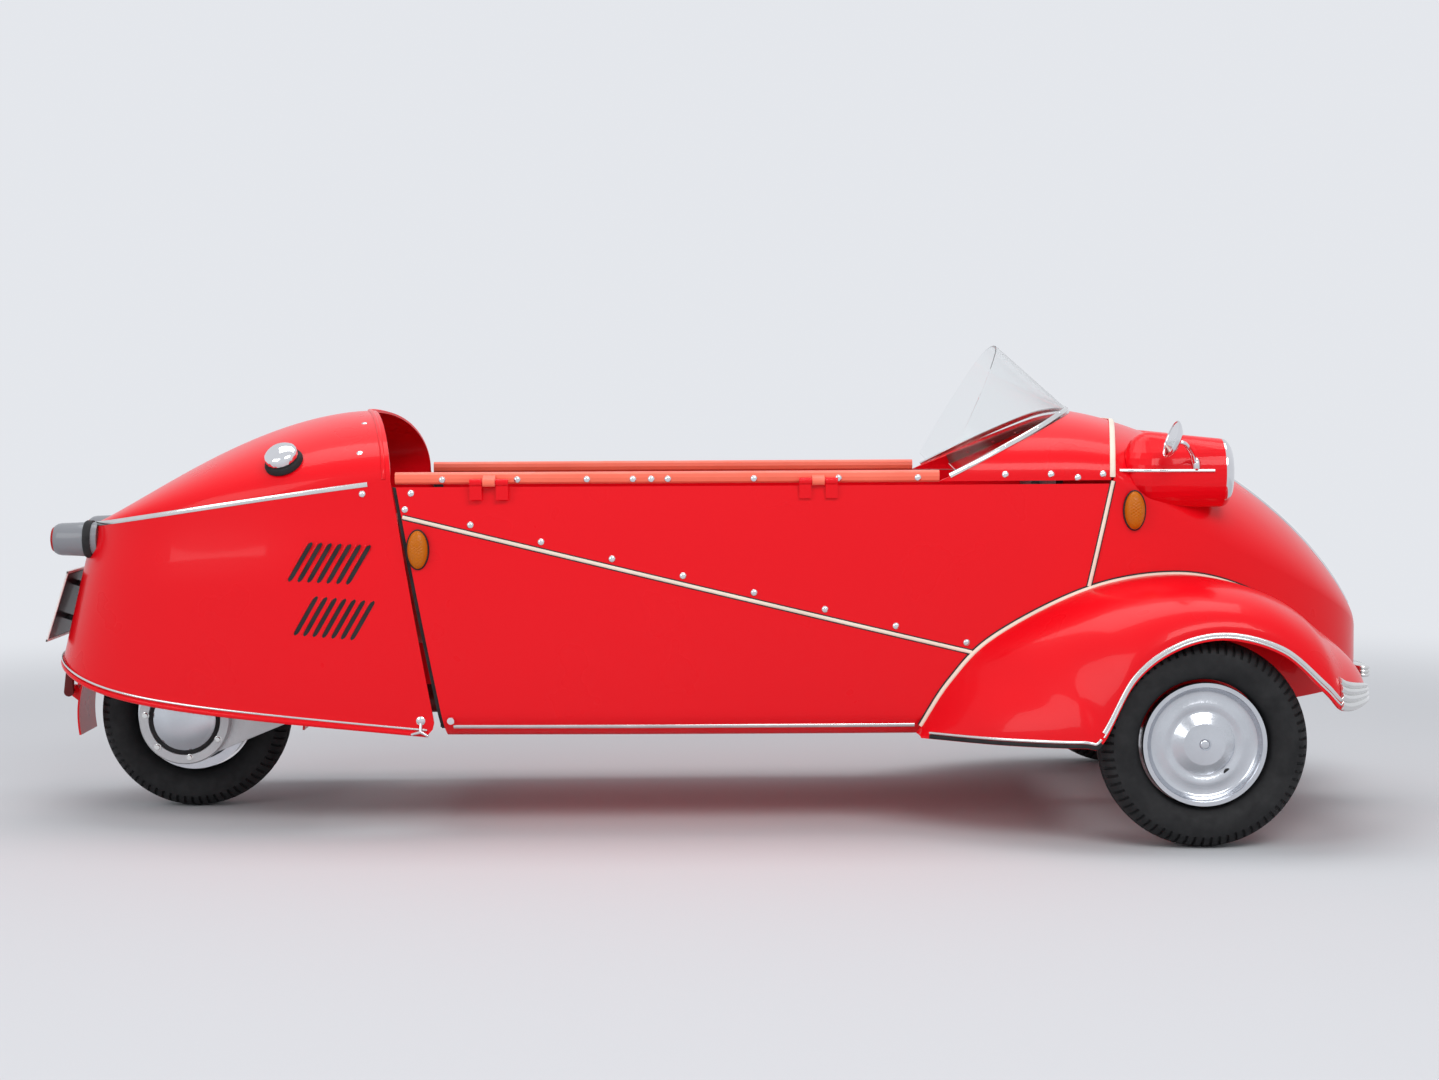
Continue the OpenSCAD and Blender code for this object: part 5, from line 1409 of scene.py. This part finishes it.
@dataclass
class Drive:
    """A domed cover with its bolts on the chain case, and the tub's small fittings."""

    axle: tuple[float, float] = (-1098.0, 200.0)
    face_y: float = -132.0
    bolt_count: int = 7
    bolt_ring_r: float = 81.0

    def case(self) -> None:
        """A bolted flange round a domed cover on the case's outer face, and two bolts on its arm."""
        x, z = self.axle
        out = RIGHTWARD
        at = np.array([x, self.face_y, z])
        dome = turned([(66, -1), (66, 2.5), (64.5, 4.5), (61, 6), (56, 9), (46, 14), (32, 18.4), (16, 20.8),
                       (0, 21.6)], at, out, 72)
        ring = turned([(94, -2), (94.4, 2), (92, 4.4), (75, 4.8), (73, 2), (73, -2)], at, out, 72, ring=True)
        seal = turned([(65, -1), (74, -1), (73.5, 3), (70, 4), (65.5, 3)], at, out, 72, ring=True)
        a = np.radians(np.arange(self.bolt_count) * 360 / self.bolt_count + 20)
        places = np.stack([x + self.bolt_ring_r * np.cos(a), np.full(self.bolt_count, self.face_y - 3.4),
                           z + self.bolt_ring_r * np.sin(a)], -1)
        arm = np.array([[x + 118, self.face_y + 20.2, z + 2.0], [x + 150, self.face_y + 20.2, z + 58.0]])
        places = np.vstack([places, arm])
        bolt = ((7.5, -1), (7.5, 1.2), (5.8, 1.6), (5.8, 5.2), (4.8, 6.2), (0, 6.4))
        bolts = joined([turned(bolt, p, out, 24) for p in places])
        piece("case_cover", dome, WHEEL, "body_shell")
        piece("case_flange", ring, CAST, "body_shell")
        piece("case_seal", seal, BLACK_RUBBER_AND_SHADE, "body_shell")
        piece("case_bolts", bolts, TRIM, "body_shell")

    def toggles(self) -> None:
        """A wing nut low on each side of the cowl and a spring clip's post on the tub beside it."""
        f = FORM
        p, n = f.on_side(f.side_y, np.array([-519.0]), np.array([226.0]))
        post = turned([(0, -2), (10, -2), (10, 2.5), (6.5, 5), (5, 9), (8, 12), (7, 14.5), (0, 15)],
                      p[0] + [0, 8, 0], n[0], 28)
        piece("clip_posts", post.both(), CHROME, "body_shell")
        q, m = f.on_side(f.cowl_y, np.array([-580.0]), np.array([224.0]))
        boss = turned([(0, -2), (10, -2), (10, 3), (7, 6), (0, 7.5)], q[0] + [0, 4, 0], m[0], 28)
        nut = q[0] + np.array([0, -3.0, -22])
        wings = joined([tube(nut + np.outer(np.linspace(0, 1, 8), [dx, -3.0, dz]), np.linspace(3.4, 2.6, 8))
                        for dx, dz in ((-19, -5), (15, -8))])
        neck = rod(q[0] + [0, 2, -2], nut, 7)
        piece("cowl_wing_nuts", (boss + wings + neck).both(), CHROME, "tail_cowl")

    def build(self) -> None:
        """Makes the fittings."""
        self.case()
        self.toggles()


def vectors(mesh: bpy.types.Mesh, name: str = "co") -> Array:
    """A vector of each vertex, its place or its normal, one row each."""
    values = np.empty(len(mesh.vertices) * 3)
    mesh.vertices.foreach_get(name, values)
    return values.reshape(-1, 3)


@dataclass
class Seats:
    """Padded cushions with sewn channels, puffed by a short cloth run."""

    steps: int = 16
    cap: float = 9.0
    voxel: float = 0.007
    channel_depth: float = 0.007
    seam_depth: float = 0.005
    crown: float = 0.004
    shrink: float = 0.965
    pressure: float = 4.0
    stiffness: float = 25.0

    def pad(self, name: str, node: str, fill: float, lean: float = 0.0, channels: int = 6) -> None:
        """One cushion in its node's place.

        A rounded slab, its top raised by the product of two half sines and cut by sewn channels.

        Args:
            name: The piece's name.
            node: The CAD node it stands for.
            fill: How full it is; not used.
            lean: Backward lean in degrees, for a backrest.
            channels: How many sewn channels run along it.
        """
        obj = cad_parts[node]
        mesh = obj.data.copy()
        mesh.name = name
        work = bmesh.new()
        work.from_mesh(mesh)
        bmesh.ops.remove_doubles(work, verts=work.verts, dist=1e-5)
        work.to_mesh(mesh)
        work.free()
        temp = bpy.data.objects.new(name, mesh)
        bpy.context.scene.collection.objects.link(temp)
        remesh = temp.modifiers.new("voxels", "REMESH")
        remesh.mode, remesh.voxel_size = "VOXEL", self.voxel
        self.puff(temp)
        graph = bpy.context.evaluated_depsgraph_get()
        done = bpy.data.meshes.new_from_object(temp.evaluated_get(graph))
        bpy.data.objects.remove(temp)
        co, no = vectors(done), vectors(done, "normal")
        low, high = co.min(0), co.max(0)
        q = (co - low) / (high - low)
        side = np.sin(np.pi * np.clip(q[:, 1], 0, 1))
        up = q[:, 0] if lean == 0 else q[:, 2]
        along = np.sin(np.pi * np.clip(up, 0, 1))
        wave = np.abs(np.sin(np.pi * channels * q[:, 1]))
        face = np.clip(no[:, 2] if lean == 0 else no[:, 0], 0, 1) ** 2
        from_side, from_end = np.minimum(q[:, 1], 1 - q[:, 1]), np.minimum(up, 1 - up)
        inner = np.clip((from_side - 0.07) / 0.03, 0, 1) * np.clip((from_end - 0.08) / 0.04, 0, 1)
        groove = -self.channel_depth * (1 - wave ** 0.5) * inner * face
        seam = np.exp(-((np.minimum(from_side, from_end) - 0.075) / 0.012) ** 2)
        edge = -self.seam_depth * seam * face
        sink = -self.crown * (1 - side * along) * face
        co += no * (groove + edge + sink)[:, None]
        done.vertices.foreach_set("co", co.ravel())
        piece_obj = finish_piece(name, done, SEAT, "body_shell", replaces=[node], sharp=80)

    def puff(self, obj: bpy.types.Object) -> None:
        """Inflates a copy by cloth pressure for a few steps, each point's move capped."""
        bpy.context.view_layer.objects.active = obj
        graph = bpy.context.evaluated_depsgraph_get()
        base = bpy.data.meshes.new_from_object(obj.evaluated_get(graph))
        obj.modifiers.clear()
        obj.data = base
        start = vectors(base)
        centre = (start.min(0) + start.max(0)) / 2
        shrunk = centre + (start - centre) * self.shrink
        base.vertices.foreach_set("co", shrunk.ravel())
        cloth = obj.modifiers.new("pressure", "CLOTH")
        cloth.settings.quality = 5
        cloth.settings.use_pressure = True
        cloth.settings.uniform_pressure_force = self.pressure
        cloth.settings.tension_stiffness = cloth.settings.compression_stiffness = self.stiffness
        cloth.settings.effector_weights.gravity = 0
        cloth.point_cache.frame_start, cloth.point_cache.frame_end = 1, self.steps
        for step in range(1, self.steps + 1):
            bpy.context.scene.frame_set(step)
        graph = bpy.context.evaluated_depsgraph_get()
        puffed = bpy.data.meshes.new_from_object(obj.evaluated_get(graph))
        move = vectors(puffed) - shrunk
        size = np.linalg.norm(move, axis=1, keepdims=True)
        move *= np.minimum(1, self.cap * MM / np.maximum(size, 1e-9))
        puffed.vertices.foreach_set("co", (shrunk + move).ravel())
        obj.modifiers.clear()
        obj.data = puffed
        bpy.context.scene.frame_set(1)

    def build(self) -> None:
        """Makes the four pads."""
        self.pad("driver_seat_pad", "driver_cushion", 0.8)
        self.pad("driver_back_pad", "driver_backrest", 0.7, lean=16)
        self.pad("rear_seat_pad", "rear_cushion", 0.8, channels=8)
        self.pad("rear_back_pad", "rear_backrest", 0.7, lean=10, channels=8)


@dataclass
class Studio:
    """Floor, backdrop, lamps and camera."""

    distance: float = 5.3
    height: float = 0.888
    aside: float = 0.018
    pitch: float = 3.55
    roll: float = 0.3
    focal: float = 2500 / 1439 * 36
    backdrop: tuple[float, float, float] = (0.78, 0.80, 0.84)
    surround: float = 0.68
    fade: tuple[float, float] = (2.0, 4.6)

    def seen(self, tree: bpy.types.NodeTree) -> bpy.types.NodeSocket:
        """One for camera, glossy and transmission rays, nought for the rays that light the object."""
        path = tree.nodes.new("ShaderNodeLightPath")
        socket = path.outputs["Is Camera Ray"]
        for name in ("Is Glossy Ray", "Is Transmission Ray"):
            either = tree.nodes.new("ShaderNodeMath")
            either.operation = "MAXIMUM"
            tree.links.new(socket, either.inputs[0])
            tree.links.new(path.outputs[name], either.inputs[1])
            socket = either.outputs[0]
        return socket

    def pale(self) -> bpy.types.Material:
        """A matt pale floor that takes the shadow near the object and becomes the backdrop farther out."""
        material = bpy.data.materials.new("pale floor")
        material.use_nodes = True
        tree = material.node_tree
        shader = tree.nodes["Principled BSDF"]
        shader.inputs["Base Color"].default_value = (0.60, 0.61, 0.63, 1)
        shader.inputs["Roughness"].default_value = 0.9
        place = tree.nodes.new("ShaderNodeTexCoord")
        length = tree.nodes.new("ShaderNodeVectorMath")
        length.operation = "LENGTH"
        far = tree.nodes.new("ShaderNodeMapRange")
        far.interpolation_type = "SMOOTHERSTEP"
        far.inputs["From Min"].default_value, far.inputs["From Max"].default_value = self.fade
        both = tree.nodes.new("ShaderNodeMath")
        both.operation = "MULTIPLY"
        glow = tree.nodes.new("ShaderNodeEmission")
        glow.inputs["Color"].default_value = (*self.backdrop, 1)
        blend = tree.nodes.new("ShaderNodeMixShader")
        tree.links.new(place.outputs["Object"], length.inputs[0])
        tree.links.new(length.outputs["Value"], far.inputs["Value"])
        tree.links.new(far.outputs["Result"], both.inputs[0])
        tree.links.new(self.seen(tree), both.inputs[1])
        tree.links.new(both.outputs[0], blend.inputs[0])
        tree.links.new(shader.outputs[0], blend.inputs[1])
        tree.links.new(glow.outputs[0], blend.inputs[2])
        tree.links.new(blend.outputs[0], tree.nodes["Material Output"].inputs["Surface"])
        return material

    def floor(self) -> None:
        """A wide pale floor."""
        mesh = bpy.data.meshes.new("studio_floor")
        r = 90.0
        mesh.from_pydata([(-r, -r, 0), (r, -r, 0), (r, r, 0), (-r, r, 0)], [], [(0, 1, 2, 3)])
        obj = bpy.data.objects.new("studio_floor", mesh)
        obj.data.materials.append(self.pale())
        bpy.context.scene.collection.objects.link(obj)

    def lamp(self, name: str, at: Triple, aim: Triple, size: tuple[float, float], power: float) -> None:
        """A soft area lamp aimed at a place."""
        light = bpy.data.lights.new(name, "AREA")
        light.shape = "RECTANGLE"
        light.size, light.size_y = size
        light.energy = power
        obj = bpy.data.objects.new(name, light)
        obj.location = at
        obj.rotation_euler = (Vector(aim) - Vector(at)).to_track_quat("-Z", "Y").to_euler()
        bpy.context.scene.collection.objects.link(obj)

    def world(self) -> None:
        """White behind the object, and a plain soft light from all round."""
        world = bpy.data.worlds.new("studio")
        world.use_nodes = True
        tree = world.node_tree
        back = tree.nodes["Background"]
        level = tree.nodes.new("ShaderNodeMapRange")
        tree.links.new(self.seen(tree), level.inputs["Value"])
        level.inputs["To Min"].default_value = self.surround
        level.inputs["To Max"].default_value = 1.0
        tree.links.new(level.outputs[0], back.inputs["Strength"])
        back.inputs["Color"].default_value = (*self.backdrop, 1)
        bpy.context.scene.world = world

    def camera(self) -> None:
        """The camera at the side, a little over the waist, looking slightly down."""
        data = bpy.data.cameras.new("camera")
        data.lens = self.focal
        data.sensor_width = 36
        obj = bpy.data.objects.new("camera", data)
        obj.location = (self.aside, -self.distance, self.height)
        obj.rotation_euler = (math.radians(90 - self.pitch), math.radians(self.roll), 0)
        bpy.context.scene.collection.objects.link(obj)
        bpy.context.scene.camera = obj

    def build(self) -> None:
        """Sets the whole studio."""
        self.camera()
        self.floor()
        self.world()
        self.lamp("key", (1.5, -4.5, 4.2), (0, 0, 0.4), (3.5, 2.0), 128)
        self.lamp("fill", (-3.5, -3.5, 2.6), (-0.3, 0, 0.5), (2.5, 2.5), 50)
        self.lamp("top", (0, 0.6, 4.5), (0, 0, 0.4), (5.0, 2.0), 84)
        bpy.context.scene.view_settings.view_transform = "Standard"


NODE_FINISHES: dict[str, Finish] = {
    "chassis_frame": DEEP_RED_AND_SHADE, "headlamp_pods": RED, "dashboard": DASH, "pedals": BLACK,
    # bulkheads take the dark red as painted shade, to darken the view through the gap before the cowl
    "gear_lever": BLACK, "seat_frames": BLACK, "bulkheads": DEEP_RED_AND_SHADE, "engine_block": CAST,
    "chain_case": CAST, "rear_mudguard": RED, "right_suspension_arm": BLACK,
    "left_suspension_arm": BLACK, "frame_hinges": RED, "cockpit_rails": RAIL, "cowl_hinge": DEEP_RED_AND_SHADE,
    "fuel_tank": BLACK, "steering_bar": BLACK, "right_knuckle": BLACK, "left_knuckle": BLACK,
    "right_front_wheel": WHEEL, "left_front_wheel": WHEEL, "rear_wheel": WHEEL}


def dress_nodes() -> None:
    """Gives each construction node that still shows its finish."""
    for name, finish in NODE_FINISHES.items():
        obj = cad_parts[name]
        obj.data.materials.clear()
        obj.data.materials.append(finish.material())
        LOG.info("%s dressed as %s", name, finish.name)


def main() -> None:
    """Builds the studio, dresses the nodes and makes every new piece in order."""
    logging.basicConfig(level=logging.INFO, format="%(message)s")
    Studio().build()
    dress_nodes()
    for assembly in (Panels(), Trim(), Lamps(), Wheels(), Drive(), Seats()):
        assembly.build()


if __name__ == "__main__":
    main()
